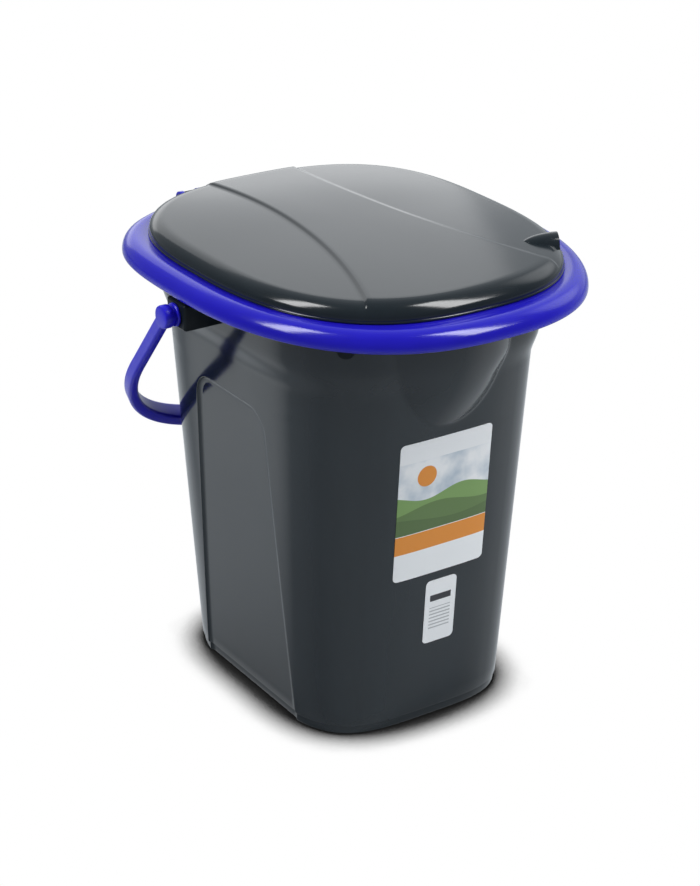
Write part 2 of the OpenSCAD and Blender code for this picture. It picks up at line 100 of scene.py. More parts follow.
@labelled
class BucketSizes(bpy.types.PropertyGroup):
    """Sizes of the bucket and of the relief in its walls."""
    height: length("Height of the rim", BUCKET_HIGH.z)
    base_width: length("Width of the walls at the base", 0.201)
    base_depth: length("Depth of the walls at the base", 0.247)
    shoulder_width: length("Width of the walls at the shoulder", 0.228)
    shoulder_depth: length("Depth of the walls at the shoulder", 0.295)
    squareness: number("Exponent of the outline, from oval at 2 to square", 3.8)
    wall: length("Thickness of the walls", 2.6 * MM)
    floor: length("Thickness of the floor", 3 * MM)
    foot_height: length("Height of the set-back foot", 8 * MM)
    foot_inset: length("How far the foot is set back from the walls", 1.8 * MM)
    collar_height: length("Height of the collar above the shoulder", 73 * MM)
    collar_step: length("How far the collar stands out from the shoulder", 5.5 * MM)
    flare_height: length("Height over which the wall flares out", 26 * MM)
    panel_depth: length("Depth of the flat side panels at their borders", 1.8 * MM)
    panel_drop: length("Distance of a panel's top below the shoulder", 29.5 * MM)
    panel_corner: length("Corner radius of a side panel", 22 * MM)
    panel_margin_top: length("Panel edge to the front, at the shoulder", 98 * MM)
    panel_margin_base: length("Panel edge to the front, at the base", 53 * MM)
    spout_out: length("How far the pouring spout stands out from the collar", 17 * MM)
    spout_drop: length("How far the spout reaches below the shoulder", 29.5 * MM)
    spout_margin: length("Spout to the side of the collar", 68 * MM)
    spout_full: length("Height above the shoulder where the spout is full width", 46 * MM)
    spout_fillet: length("Radius of the fillet round the spout", 8 * MM)


@labelled
class SeatSizes(bpy.types.PropertyGroup):
    """Sizes of the seat ring."""
    half_width: length("Half width of the outer edge", SEAT_HIGH.x)
    front: length("Reach of the outer edge to the front", -SEAT_LOW.y)
    back: length("Reach of the outer edge to the back", SEAT_HIGH.y)
    shell: length("Thickness of the shell", 3 * MM)
    lip_height: length("Height of the outer lip below the ledge", 15 * MM)
    crest: length("Height of the rounded edge above the ledge", 0.6 * MM)
    roll: length("Width of the rounded edge", 12 * MM)
    skirt: length("Depth of the splash skirt below the ledge", 25 * MM)
    hole_half_width: length("Half width of the opening", 98 * MM)
    hole_front: length("Reach of the opening to the front", 127 * MM)
    hole_back: length("Reach of the opening to the back", 110 * MM)


@labelled
class LidSizes(bpy.types.PropertyGroup):
    """Sizes of the lid."""
    half_width: length("Half width of the lid", LID_HIGH.x)
    front: length("Reach of the lid to the front", -LID_LOW.y)
    back: length("Reach of the lid to the back", LID_HIGH.y)
    shell: length("Thickness of the shell", 2.5 * MM)
    edge_height: length("Height of the rounded edge", 14 * MM)
    edge_width: length("Width of the rounded edge", 13 * MM)
    dome: length("Rise of the dome above the edge", 4.6 * MM)
    band_rise: length("Height of the raised band", 1.7 * MM)
    band_half_width: length("Half width of the band at its waist", 38 * MM)
    band_radius: length("Radius of the band's flared edges", 625 * MM)
    band_waist: length("Place of the band's waist along the lid", 80 * MM)
    lift_turn: angle("Place of the finger lift round the lid", 313)
    lift_heading: angle("Way the finger lift points", -24)
    lift_length: length("Length of the rounded finger lift", 30 * MM)
    lift_half_width: length("Half width of the finger lift", 10.5 * MM)
    lift_height: length("Height of the finger lift above its middle", 11 * MM)
    lift_level: length("Height of the finger lift's middle above the lid's edge", 10 * MM)


@labelled
class HandleSizes(bpy.types.PropertyGroup):
    """Sizes of the bail handle and its brackets."""
    strip: length("Thickness of the arms", 8 * MM)
    width: length("Width of the arms", 11.5 * MM)
    grip: length("Thickness of the grip in the middle of the bow", 16 * MM)
    grip_width: length("Width of the grip in the middle of the bow", 15 * MM)
    arm: length("Length of a straight arm", 75 * MM)
    draw_in: length("How far the arms draw in towards the bow", 2.3 * MM)
    rise: length("Inner reach of the bow beyond the arms", 144.486 * MM)
    hang: angle("How far the handle hangs below level", 48.0883)
    pin: length("Radius of a pivot pin", 5 * MM)
    pin_length: length("Length of a pivot pin in its bracket", 22 * MM)
    neck: length("Radius of the neck beside an arm", 6 * MM)
    flange: length("Radius of the collar at a bracket", 9.4 * MM)
    flange_width: length("Thickness of the collar at a bracket", 2.5 * MM)
    lobe: length("Radius of an arm's rounded end", 9.4 * MM)


@labelled
class Finishes(bpy.types.PropertyGroup):
    """Colours of the plastics and the labels."""
    anthracite: colour("Bucket and lid", (0.011, 0.016, 0.020))
    blue: colour("Seat and handle", (0.012, 0.008, 0.42))
    card: colour("Ground of the labels", (0.97, 0.97, 0.97))
    sky: colour("Pale field on the front label", (0.52, 0.60, 0.68))
    hill: colour("Waves on the front label", (0.10, 0.17, 0.05))
    sun: colour("Disc and stripe on the front label", (0.86, 0.30, 0.03))
    ink: colour("Dark bars on the labels", (0.03, 0.03, 0.035))


@labelled
class StageSettings(bpy.types.PropertyGroup):
    """Camera, floor and light."""
    azimuth: angle("Direction of the camera", -33.19)
    elevation: angle("Height angle of the camera", 24.53)
    distance: length("Distance of the camera from its target", 1.912)
    lens: number("Focal length in millimetres", 93.12)
    floor_tone: number("How pale the floor is in the picture", 1.0)


# Small tools for modelling

def deselect():
    """Leaves edit mode with nothing selected."""
    if bpy.context.object and bpy.context.object.mode != "OBJECT":
        bpy.ops.object.mode_set(mode="OBJECT")
    bpy.ops.object.select_all(action="DESELECT")


def activate(obj):
    """Makes one object the only selected one."""
    deselect()
    obj.select_set(True)
    bpy.context.view_layer.objects.active = obj


def settle():
    """Applies the place, turn and scale of the selected object to its mesh."""
    bpy.ops.object.transform_apply(location=True, rotation=True, scale=True)


@contextmanager
def editing(obj, choice="SELECT"):
    """Edit mode on one object, with all or nothing selected at first, or what was selected before."""
    activate(obj)
    bpy.ops.object.mode_set(mode="EDIT")
    if choice:
        bpy.ops.mesh.select_all(action=choice)
    yield
    bpy.ops.object.mode_set(mode="OBJECT")


def stack(*rows):
    """Points put together from their coordinates."""
    return np.stack(np.broadcast_arrays(*rows), axis=-1)


def polar(radius, turns, *height):
    """Points round the Z axis."""
    return stack(radius * np.cos(turns), radius * np.sin(turns), *height)


def sheet(points):
    """A grid primitive whose corners are put at points[i, j]."""
    deselect()
    across, along = points.shape[0] - 1, points.shape[1] - 1
    bpy.ops.mesh.primitive_grid_add(x_subdivisions=across, y_subdivisions=along, size=2)
    obj = bpy.context.object
    flat = np.empty(len(obj.data.vertices) * 3)
    obj.data.vertices.foreach_get("co", flat)
    grid = flat.reshape(-1, 3)
    i = np.rint((grid[:, 0] + 1) / 2 * across).astype(int)
    j = np.rint((grid[:, 1] + 1) / 2 * along).astype(int)
    obj.data.vertices.foreach_set("co", points[i, j].ravel())
    obj.data.update()
    return obj


def weld(name, parts):
    """Joins pieces into one and merges their shared borders."""
    deselect()
    for part in parts:
        part.select_set(True)
    bpy.context.view_layer.objects.active = parts[0]
    if len(parts) > 1:
        bpy.ops.object.join()
    obj = bpy.context.object
    obj.name = obj.data.name = name
    with editing(obj):
        bpy.ops.mesh.remove_doubles(threshold=MERGE)
    return obj


def recalculate(obj):
    """Turns all faces of a closed mesh outwards."""
    with editing(obj):
        bpy.ops.mesh.normals_make_consistent(inside=False)
    return obj


def grow_rings(obj, picked, rings):
    """Extrudes the border that picked(co) names through rings, each a function of it, and closes the end."""
    with editing(obj, "DESELECT"):
        bpy.ops.mesh.select_mode(type="EDGE")
        mesh = bmesh.from_edit_mesh(obj.data)
        column = mesh.verts.layers.int.new("column")
        border = [e for e in mesh.edges if (e.is_boundary or e.is_wire) and all(picked(v.co) for v in e.verts)]
        corners = sorted({v for e in border for v in e.verts}, key=lambda v: v.index)
        start = np.array([v.co for v in corners])
        for k, v in enumerate(corners):
            v[column] = k
        for e in border:
            e.select = True
        bmesh.update_edit_mesh(obj.data)
        for ring in rings:
            places = ring(start)
            bpy.ops.mesh.extrude_edges_move()
            mesh = bmesh.from_edit_mesh(obj.data)
            column = mesh.verts.layers.int["column"]
            for v in mesh.verts:
                if v.select:
                    v.co = places[v[column]]
            bmesh.update_edit_mesh(obj.data)
        bpy.ops.mesh.edge_face_add()
        mesh = bmesh.from_edit_mesh(obj.data)
        mesh.verts.layers.int.remove(mesh.verts.layers.int["column"])
        bmesh.update_edit_mesh(obj.data)
    return obj


def lathe(name, profile):
    """A turned piece along X: a circle extruded through (place, radius) pairs and closed at both ends."""
    deselect()
    bpy.ops.mesh.primitive_circle_add(vertices=64, radius=1, fill_type="NOTHING", rotation=(0, math.pi / 2, 0))
    settle()
    obj = bpy.context.object
    obj.name = obj.data.name = name
    first_place, first_radius = profile[0]
    for v in obj.data.vertices:
        v.co = (first_place, v.co.y * first_radius, v.co.z * first_radius)

    def ring(place, radius):
        return lambda start: stack(
            place, start[:, 1] / first_radius * radius, start[:, 2] / first_radius * radius)

    grow_rings(obj, lambda co: True, [ring(*step) for step in profile[1:]])
    with editing(obj, "DESELECT"):
        bpy.ops.mesh.select_non_manifold()
        bpy.ops.mesh.edge_face_add()
    return recalculate(obj)


def modify(obj, kind, **settings):
    """Applies one modifier with its settings."""
    activate(obj)
    change = obj.modifiers.new(kind, kind)
    for name, value in settings.items():
        setattr(change, name, value)
    bpy.ops.object.modifier_apply(modifier=change.name)
    return obj


def combine(obj, tool, operation):
    """Adds or cuts a tool piece, and deletes the tool."""
    modify(obj, "BOOLEAN", operation=operation, solver="EXACT", object=tool)
    bpy.data.objects.remove(tool)


def soften(obj, width):
    """Rounds the sharp edges of a piece."""
    return modify(obj, "BEVEL", width=width, segments=3, limit_method="ANGLE", angle_limit=math.radians(35))


def node_copy(node):
    """A merged copy of a CAD node's mesh, with its flat faces whole again."""
    deselect()
    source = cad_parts[node]
    obj = bpy.data.objects.new(node + "_piece", source.data.copy())
    bpy.context.scene.collection.objects.link(obj)
    with editing(obj):
        bpy.ops.mesh.remove_doubles(threshold=MERGE)
        bpy.ops.mesh.dissolve_limited(angle_limit=math.radians(1))
    return obj


def slope_arm(obj, node, pin):
    """Slopes the top of a hinge arm down to its knuckle."""
    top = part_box(node)[1]
    axis = sum(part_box(pin), Vector()) / 2
    knuckle = top.y - axis.y
    run = 13 * MM
    slope = Vector((0, top.z - axis.z - knuckle, run)).normalized()
    with editing(obj):
        bpy.ops.mesh.bisect(
            plane_co=(0, axis.y, axis.z + knuckle), plane_no=slope, clear_outer=True, use_fill=True)


def round_tabs(obj, radius, shorter):
    """Rounds the lower corners of the tongues and draws their ends up a little."""
    with editing(obj, "DESELECT"):
        bpy.ops.mesh.select_mode(type="EDGE")
    corners = [vert.co.copy() for vert in obj.data.vertices]
    low = min(corner.z for corner in corners) + 0.1 * MM
    for edge in obj.data.edges:
        one, two = (corners[index] for index in edge.vertices)
        edge.select = max(one.z, two.z) < low and (one - two).length < radius
    with editing(obj, None):
        bpy.ops.transform.translate(value=(0, 0, shorter))
        bpy.ops.mesh.bevel(offset=radius, segments=8, affect="EDGES")
    return obj


def finish_piece(obj, finish, body, nodes, slot, angle=40):
    """Shades a piece, gives it its finish and ties it to the frame."""
    activate(obj)
    settle()
    bpy.ops.object.shade_smooth_by_angle(angle=math.radians(angle))
    obj.data.materials.clear()
    obj.data.materials.append(finish)
    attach(obj, body)
    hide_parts(*nodes)
    return obj


def coons(back, front, left, right):
    """A grid of points between four border curves: back and front run across, left and right run along."""
    u = np.linspace(0, 1, len(back))[:, None, None]
    v = np.linspace(0, 1, len(left))[None, :, None]
    ruled_v = (1 - v) * back[:, None] + v * front[:, None]
    ruled_u = (1 - u) * left[None] + u * right[None]
    corners = ((1 - u) * (1 - v) * back[0] + u * (1 - v) * back[-1]
               + (1 - u) * v * front[0] + u * v * front[-1])
    return ruled_v + ruled_u - corners


def mirrored(half):
    """A curve from one side to the middle, carried on to the other side."""
    other = half[::-1][1:] * np.array([-1, 1])
    return np.vstack([half, other])


# Bucket

class BucketWall:
    """The bucket's walls as formulas, from its sizes."""

    corner_from = 0.72
    corner_to = 0.6

    def __init__(self, s):
        self.s = s
        self.n = s.squareness
        self.shoulder = s.height - s.collar_height
        self.panel_top = self.shoulder - s.panel_drop
        self.spout_low = self.shoulder - s.spout_drop
        self.spout_middle = self.shoulder + s.spout_full
        self.spout_half = s.shoulder_width / 2 + s.collar_step - s.spout_margin

    def rise(self, z):
        return np.clip((z - self.s.foot_height) / (self.shoulder - self.s.foot_height), 0, 1)

    def flare(self, z):
        u = np.clip((z - self.shoulder) / self.s.flare_height, 0, 1)
        return self.s.collar_step * u * u * (3 - 2 * u)

    def half_width(self, z):
        s = self.s
        return (s.base_width + (s.shoulder_width - s.base_width) * self.rise(z)) / 2 + self.flare(z)

    def half_depth(self, z):
        s = self.s
        return (s.base_depth + (s.shoulder_depth - s.base_depth) * self.rise(z)) / 2 + self.flare(z)

    def other(self, place, along, across):
        share = np.minimum(1, np.abs(place) / along)
        return across * (1 - share ** self.n) ** (1 / self.n)

    def side_x(self, y, z):
        return self.other(y, self.half_depth(z), self.half_width(z))

    def front_y(self, x, z):
        return self.other(x, self.half_width(z), self.half_depth(z))

    def side_limit(self, z):
        return self.corner_from * self.half_depth(z)

    def front_limit(self, z):
        return self.corner_to * self.half_width(z)

    def panel_edge(self, z):
        s = self.s
        margin = s.panel_margin_base + (s.panel_margin_top - s.panel_margin_base) * self.rise(z)
        return self.half_depth(z) - margin

    def panel_floor(self, z):
        """Place of the flat side panel, which faces straight out."""
        return self.side_x(self.panel_edge(z), z) - self.s.panel_depth

    def spout_down(self, z):
        return np.clip((self.spout_middle - z) / (self.spout_middle - self.spout_low), 0, 1)

    def spout_share(self, x, z):
        """0 in the middle of the pouring spout, 1 on its edge."""
        return np.minimum(1, np.hypot(x / self.spout_half, self.spout_down(z)))

    def spout_bulge(self, share, z, foot):
        """How far the spout stands out, from foot at its edge; the flare of the collar fades away in it."""
        fade = np.sqrt(np.maximum(0.1, 1 - self.spout_down(z) ** 2))
        full = self.s.spout_out + self.s.collar_step - foot - self.flare(z) / fade
        return full * np.maximum(0, 1 - share ** 2)

    def outline(self, points, z):
        """Where border points lie on the plain outline at z, and the way out from there."""
        hw, hd = self.half_width(z), self.half_depth(z)
        cx, cy = points[:, 0] / hw, points[:, 1] / hd
        side = np.abs(cy) <= self.corner_from + 0.001
        cx = np.where(side, np.sign(cx) * self.other(cy, 1, 1), cx)
        cy = np.where(side, cy, np.sign(cy) * self.other(cx, 1, 1))
        power = self.n - 1
        out = stack(np.sign(cx) * np.abs(cx) ** power / hw, np.sign(cy) * np.abs(cy) ** power / hd)
        return stack(cx, cy), out / np.linalg.norm(out, axis=1)[:, None]


def fillet_steps(radius, steps):
    """Quarter round as (distance from the edge, depth) pairs, from the flat to the wall."""
    turns = np.linspace(0, math.pi / 2, steps + 1)
    return [(radius * (1 - math.sin(t)), radius * (1 - math.cos(t))) for t in turns]


def panel_loop(wall, low, offset, straight, round_half, flat):
    """The border of a side panel, moved out by offset: up one leg, round the top and down the other."""
    s = wall.s
    foot = np.array([float(wall.panel_edge(low)), low])
    head = np.array([float(wall.panel_edge(wall.panel_top)), wall.panel_top])
    leg = (head - foot) / np.linalg.norm(head - foot)
    out = np.array([leg[1], -leg[0]])
    centre_z = wall.panel_top - s.panel_corner
    centre_y = foot[0] + (-s.panel_corner - (centre_z - low) * out[1]) / out[0]
    centre = np.array([centre_y, centre_z])
    radius = s.panel_corner + offset
    start = foot + out * offset
    start = start - leg * (start[1] - low) / leg[1]
    first = math.atan2(out[1], out[0])
    turns = np.linspace(first, math.pi / 2, 2 * round_half + 1)
    arc = centre + polar(radius, turns)
    up = start + (arc[0] - start) * np.linspace(0, 1, straight + 1)[:, None]
    across = stack(np.linspace(arc[-1, 0], 0, flat + 1), arc[-1, 1])
    return mirrored(np.vstack([up, arc[1:], across[1:]]))


def side_sheets(wall, levels, straight, round_half, flat):
    """The two side walls up to levels[-1], each with its recessed panel."""
    low, top = levels[0], levels[-1]
    shares = np.linspace(1, 0, round_half + flat + 1)
    legs = stack(wall.side_limit(levels), levels)
    lintel = stack(wall.side_limit(top) * shares, top)
    outer = mirrored(np.vstack([legs, lintel[1:]]))
    edge = 0.9 * MM
    draft = 0.4 * MM
    depth = wall.s.panel_depth
    steps = [(4.5 * MM, 0), (2.2 * MM, 0)]
    steps += fillet_steps(edge, 3)
    steps += [(-draft - gap, depth - deep) for deep, gap in fillet_steps(edge, 3)[::-1]]
    steps += [(-3 * MM, depth), (-6 * MM, depth)]
    loops = [panel_loop(wall, low, offset, straight, round_half, flat) for offset, _ in steps]
    depths = [deep for _, deep in steps]
    spread = 5
    between = [outer + (loops[0] - outer) * k / spread for k in range(spread)]
    ring = np.array(between + loops)
    sunk = np.array([0.0] * spread + depths)[:, None]
    last = loops[-1]
    n_leg = straight + round_half
    left, right, head = last[:n_leg + 1], last[::-1][:n_leg + 1], last[n_leg:len(last) - n_leg]
    base = left[0] + (right[0] - left[0]) * np.linspace(0, 1, len(head))[:, None]
    inside = coons(base, head, left, right)
    sheets = []
    for side in (-1, 1):
        for plan, deep in ((ring, sunk / depth), (inside, 1.0)):
            y, z = plan[..., 0], plan[..., 1]
            x = wall.side_x(y, z) * (1 - deep) + wall.panel_floor(z) * deep
            sheets.append(sheet(stack(side * x, y, z)))
    return sheets, shares


def front_sheet(wall, levels, round_second):
    """The upper front wall with its pouring spout; levels run down from the rim."""
    low = levels[-1]
    legs_z = levels[levels >= wall.spout_middle - NEAR]
    round_first = len(levels) - len(legs_z)
    shares = np.linspace(1, 0, round_second + 1)

    def loop(offset, scale):
        wide = (wall.spout_half + offset) * scale
        high = (wall.spout_middle - wall.spout_low + offset) * scale
        legs = stack(wide, legs_z)
        turns = np.linspace(0, math.pi / 2, round_first + round_second + 1)[1:]
        bowl = stack(wide * np.cos(turns), wall.spout_middle - high * np.sin(turns))
        return mirrored(np.vstack([legs, bowl]))

    legs = stack(wall.front_limit(levels), levels)
    sill = stack(wall.front_limit(low) * shares, low)
    outer = mirrored(np.vstack([legs, sill[1:]]))
    turns = np.radians(np.linspace(0, 34, 7))
    radius = wall.s.spout_fillet
    steps = [(radius, 0)]
    steps += [(radius * (math.sin(turns[-1]) - math.sin(t)), radius * (1 - math.cos(t))) for t in turns]
    fillet = steps[-1][1]
    scales = [0.998, 0.992, 0.982, 0.966, 0.943, 0.91, 0.86, 0.79, 0.7, 0.58, 0.44, 0.28, 0.12, 0]
    loops = [loop(offset, 1) for offset, _ in steps] + [loop(0, t) for t in scales]
    spread = 4
    plan = np.array([outer + (loops[0] - outer) * k / spread for k in range(spread)] + loops)
    x, z = plan[..., 0], plan[..., 1]
    foot = np.array([0.0] * spread + [up for _, up in steps] + [fillet] * len(scales))[:, None]
    shares_in = np.array([1.0] * (spread + len(steps)) + scales)[:, None]
    bulge = foot + wall.spout_bulge(shares_in, z, fillet)
    return sheet(stack(x, -wall.front_y(x, z) - bulge, z)), shares


def bucket_shell(s):
    """The whole bucket: outer walls with their relief, foot, rim, inner walls and floor."""
    wall = BucketWall(s)
    low = s.foot_height + 1 * MM
    top = s.height - 1.2 * MM
    straight, round_half, flat = 22, 5, 8
    panel_levels = np.concatenate([
        np.linspace(low, wall.panel_top - s.panel_corner, straight + 1),
        wall.panel_top + np.array([-12, -6, 0, 7, 14]) * MM])
    upper = np.concatenate([
        [wall.shoulder - 7 * MM],
        wall.shoulder + s.flare_height * np.linspace(0, 1, 9),
        np.linspace(wall.shoulder + s.flare_height, wall.spout_middle, 5)[1:],
        np.linspace(wall.spout_middle, top, 5)[1:]])
    levels = np.concatenate([panel_levels, upper])
    parts, side_shares = side_sheets(wall, panel_levels, straight, round_half, flat)
    spout_levels = levels[levels >= wall.spout_low - 12 * MM][::-1]
    front, front_shares = front_sheet(wall, spout_levels, 9)
    parts.append(front)
    side_all = np.concatenate([side_shares, -side_shares[::-1][1:]])
    front_all = np.concatenate([front_shares, -front_shares[::-1][1:]])
    corner_turns = np.linspace(
        math.asin(wall.corner_from ** (wall.n / 2)), math.acos(wall.corner_to ** (wall.n / 2)), 21)
    above = levels[levels >= panel_levels[-1] - NEAR]
    below = levels[levels <= spout_levels[-1] + NEAR]
    for side in (-1, 1):
        y, z = np.meshgrid(side_all, above, indexing="ij")
        y = y * wall.side_limit(z)
        parts.append(sheet(stack(side * wall.side_x(y, z), y, z)))
        zs = levels if side > 0 else below
        x, z = np.meshgrid(front_all, zs, indexing="ij")
        x = x * wall.front_limit(z)
        parts.append(sheet(stack(x, side * wall.front_y(x, z), z)))
        for way in (-1, 1):
            t, z = np.meshgrid(corner_turns, levels, indexing="ij")
            x = wall.half_width(z) * np.cos(t) ** (2 / wall.n)
            y = wall.half_depth(z) * np.sin(t) ** (2 / wall.n)
            parts.append(sheet(stack(side * x, way * y, z)))
    obj = weld("bucket_shell", parts)

    def moved_in(inset, z):
        def ring(start):
            _, out = wall.outline(start, z)
            return stack(*(start[:, :2] - out * inset).T, z)
        return ring

    def foot(inset, z):
        def ring(start):
            unit, out = wall.outline(start, low)
            plain = unit * [wall.half_width(low), wall.half_depth(low)]
            return stack(*(plain - out * inset).T, z)
        return ring

    hollow = s.foot_inset + 12 * MM
    inset = s.foot_inset
    base = [moved_in(0.3 * MM, low - 0.7 * MM), moved_in(1 * MM, low - 1 * MM), moved_in(inset, low - 1.2 * MM),
            moved_in(inset, 1.6 * MM), moved_in(inset + 0.5 * MM, 0.5 * MM), moved_in(inset + 1.6 * MM, 0),
            foot(hollow, 0), foot(hollow + 1 * MM, 0.8 * MM), foot(hollow + 6 * MM, 0.8 * MM)]
    grow_rings(obj, lambda co: co.z < low + NEAR, base)

    def inside(inset, z):
        def ring(start):
            unit, out = wall.outline(start, top)
            plain = unit * [wall.half_width(z), wall.half_depth(z)] - out * inset
            x, y = plain.T
            panel = (np.clip((wall.panel_edge(z) + 4 * MM - np.abs(y)) / (7 * MM), 0, 1)
                     * np.clip((wall.panel_top + 4 * MM - z) / (7 * MM), 0, 1))
            facing_side = np.abs(unit[:, 1]) < wall.corner_from
            x = np.where(facing_side, x - np.sign(x) * (s.panel_depth + 1.2 * MM) * panel, x)
            facing_front = (y < 0) * (np.abs(unit[:, 0]) < wall.corner_to)
            bulge = wall.spout_bulge(wall.spout_share(x, z), z, 0) * facing_front
            return stack(x, y - bulge, z)
        return ring

    round_r = 8 * MM
    depths = np.concatenate([
        np.linspace(top, wall.shoulder + s.flare_height, 4),
        wall.shoulder + s.flare_height * np.array([0.75, 0.5, 0.25, 0]),
        np.linspace(wall.shoulder, wall.spout_low - 4 * MM, 7)[1:],
        np.linspace(wall.spout_low - 4 * MM, s.floor + round_r, 10)[1:]])
    rim = [moved_in(0.35 * MM, s.height - 0.35 * MM), moved_in(s.wall * 0.5, s.height),
           moved_in(s.wall - 0.35 * MM, s.height - 0.35 * MM)]
    walls = [inside(s.wall, float(z)) for z in depths]
    bend = [inside(s.wall + round_r * (1 - math.cos(t)), s.floor + round_r * (1 - math.sin(t)))
            for t in np.radians([25, 45, 65, 90])]
    grow_rings(obj, lambda co: co.z > top - NEAR, rim + walls + bend)
    return recalculate(obj)


# Seat and lid

def egg(turn, half_width, front, back, powers):
    """Polar radius of an egg-shaped outline with its own reach and exponent to the front and to the back."""
    in_front = np.sin(turn) < 0
    reach = np.where(in_front, front, back)
    power = np.where(in_front, powers[0], powers[1])
    across, ahead = np.abs(np.cos(turn)) / half_width, np.abs(np.sin(turn)) / reach
    return (across ** power + ahead ** power) ** (-1 / power)


def lid_radius(turn, s, extra=0.0):
    """Radius of the lid's edge, moved out by extra."""
    return egg(turn, s.half_width + extra, s.front + extra, s.back + extra, LID_POWERS)


def seat_shell(s, lid):
    """The seat ring: one closed section carried round the egg-shaped opening."""
    turns = np.linspace(0, 2 * math.pi, 145)
    o = egg(turns, s.half_width, s.front, s.back, SEAT_POWERS)
    nest = lid_radius(turns, lid, 2.3 * MM)
    h = egg(turns, s.hole_half_width, s.hole_front, s.hole_back, HOLE_POWERS)
    t = s.shell
    roll = np.minimum(s.roll, np.maximum(t + 0.5 * MM, 0.8 * (o - nest)))
    ledge = SEAT_LOW.z + s.skirt
    lip = ledge - s.lip_height
    foot = lip + 2.5 * MM
    arc = ledge + s.crest - foot
    low = ledge - s.skirt
    under = np.minimum(nest, o - roll) - 1 * MM

    def outer_arc(degrees):
        return [(o - roll * (1 - math.cos(a)), foot + arc * math.sin(a)) for a in np.radians(degrees)]

    def inner_arc(degrees):
        inner = roll - t
        return [(o - roll + inner * math.cos(a), foot + (arc - t) * math.sin(a)) for a in np.radians(degrees)]

    section = [
        (o - 1.5 * MM, lip), (o - 0.7 * MM, lip + 0.25 * MM), (o - 0.15 * MM, lip + 1.1 * MM),
        *outer_arc([0, 13, 26, 39, 52, 65, 78, 90]),
        (nest + 0.3 * (o - roll - nest), ledge + 0.5 * s.crest),
        (nest - 0.6 * MM, ledge), (nest - 4 * MM, ledge),
        (h + 16 * MM, ledge), (h + 8 * MM, ledge - 1.2 * MM), (h + 3 * MM, ledge - 4.6 * MM),
        (h + 0.6 * MM, ledge - 10 * MM), (h, ledge - 15 * MM), (h, low + 1 * MM), (h + 0.5 * MM, low),
        (h + t - 0.5 * MM, low), (h + t, low + 1 * MM), (h + t, ledge - 14 * MM),
        (h + t + 1.2 * MM, ledge - 8 * MM), (h + t + 3 * MM, ledge - t - 1.6 * MM),
        (h + t + 5 * MM, ledge - t), (h + t + 9 * MM, ledge - t),
        (under - 2 * MM, ledge - t), (under, ledge - t),
        *inner_arc([90, 70, 50, 30, 12]),
        (o - t, lip + 1.6 * MM), (o - t, lip + 0.8 * MM), (o - t + 0.4 * MM, lip)]
    rows = [polar(r, turns, z) for r, z in section + section[:1]]
    obj = weld("seat_shell", [sheet(np.array(rows))])
    return modify(recalculate(obj), "SUBSURF", levels=1, render_levels=1)


class LidTop:
    """The lid's upper side as formulas, from its sizes."""

    def __init__(self, s):
        self.s = s
        self.low = LID_LOW.z

    def dome(self, r, rim):
        top_r = rim - self.s.edge_width
        return self.s.edge_height + self.s.dome * (1 - (r / top_r) ** 2)

    def height(self, x, y, raised):
        r, turn = np.hypot(x, y), np.arctan2(y, x)
        rim = lid_radius(turn, self.s)
        return self.low + self.dome(r, rim) + raised * self.s.band_rise

    def inner(self, turn):
        """A point on the inner border of the rounded edge."""
        r = lid_radius(turn, self.s) - self.s.edge_width
        return polar(r, turn)

    def band_edge(self, y):
        s = self.s
        return s.band_half_width + s.band_radius - np.sqrt(s.band_radius ** 2 - (s.band_waist - y) ** 2)

    def crossing(self, offset, low, high):
        """Where the band's edge meets the inner border, between low (in the band) and high (beside it)."""
        for _ in range(40):
            middle = (low + high) / 2
            x, y = self.inner(np.array(middle))
            if x < self.band_edge(y) + offset:
                low = middle
            else:
                high = middle
        return low

    def edge_curve(self, offset, back, front, steps):
        """The band's right edge, moved out by offset, between its two crossings."""
        y = np.linspace(self.inner(np.array(back))[1], self.inner(np.array(front))[1], steps + 1)
        return stack(self.band_edge(y) + offset, y)

    def rim_rows(self, turns, raised):
        """Points over the rounded edge, down the skirt to its foot, for a run of directions."""
        s = self.s
        rim = lid_radius(turns, s)
        rows = []
        for psi in np.radians([90, 80, 70, 60, 50, 40, 30, 20, 10, 0]):
            r = rim - s.edge_width * (1 - math.cos(psi))
            drop = (s.edge_height - 3.5 * MM) * (1 - math.sin(psi))
            z = self.low + self.dome(r, rim) - drop + raised * s.band_rise * math.sin(psi) ** 3
            rows.append((r, z))
        for out, up in ((0, 1.9), (0.35, 1.55), (0.45, 1.1), (0.45, 0.4), (0, 0)):
            rows.append((rim + out * MM, self.low + up * MM))
        return np.array([polar(r, turns, z) for r, z in rows])


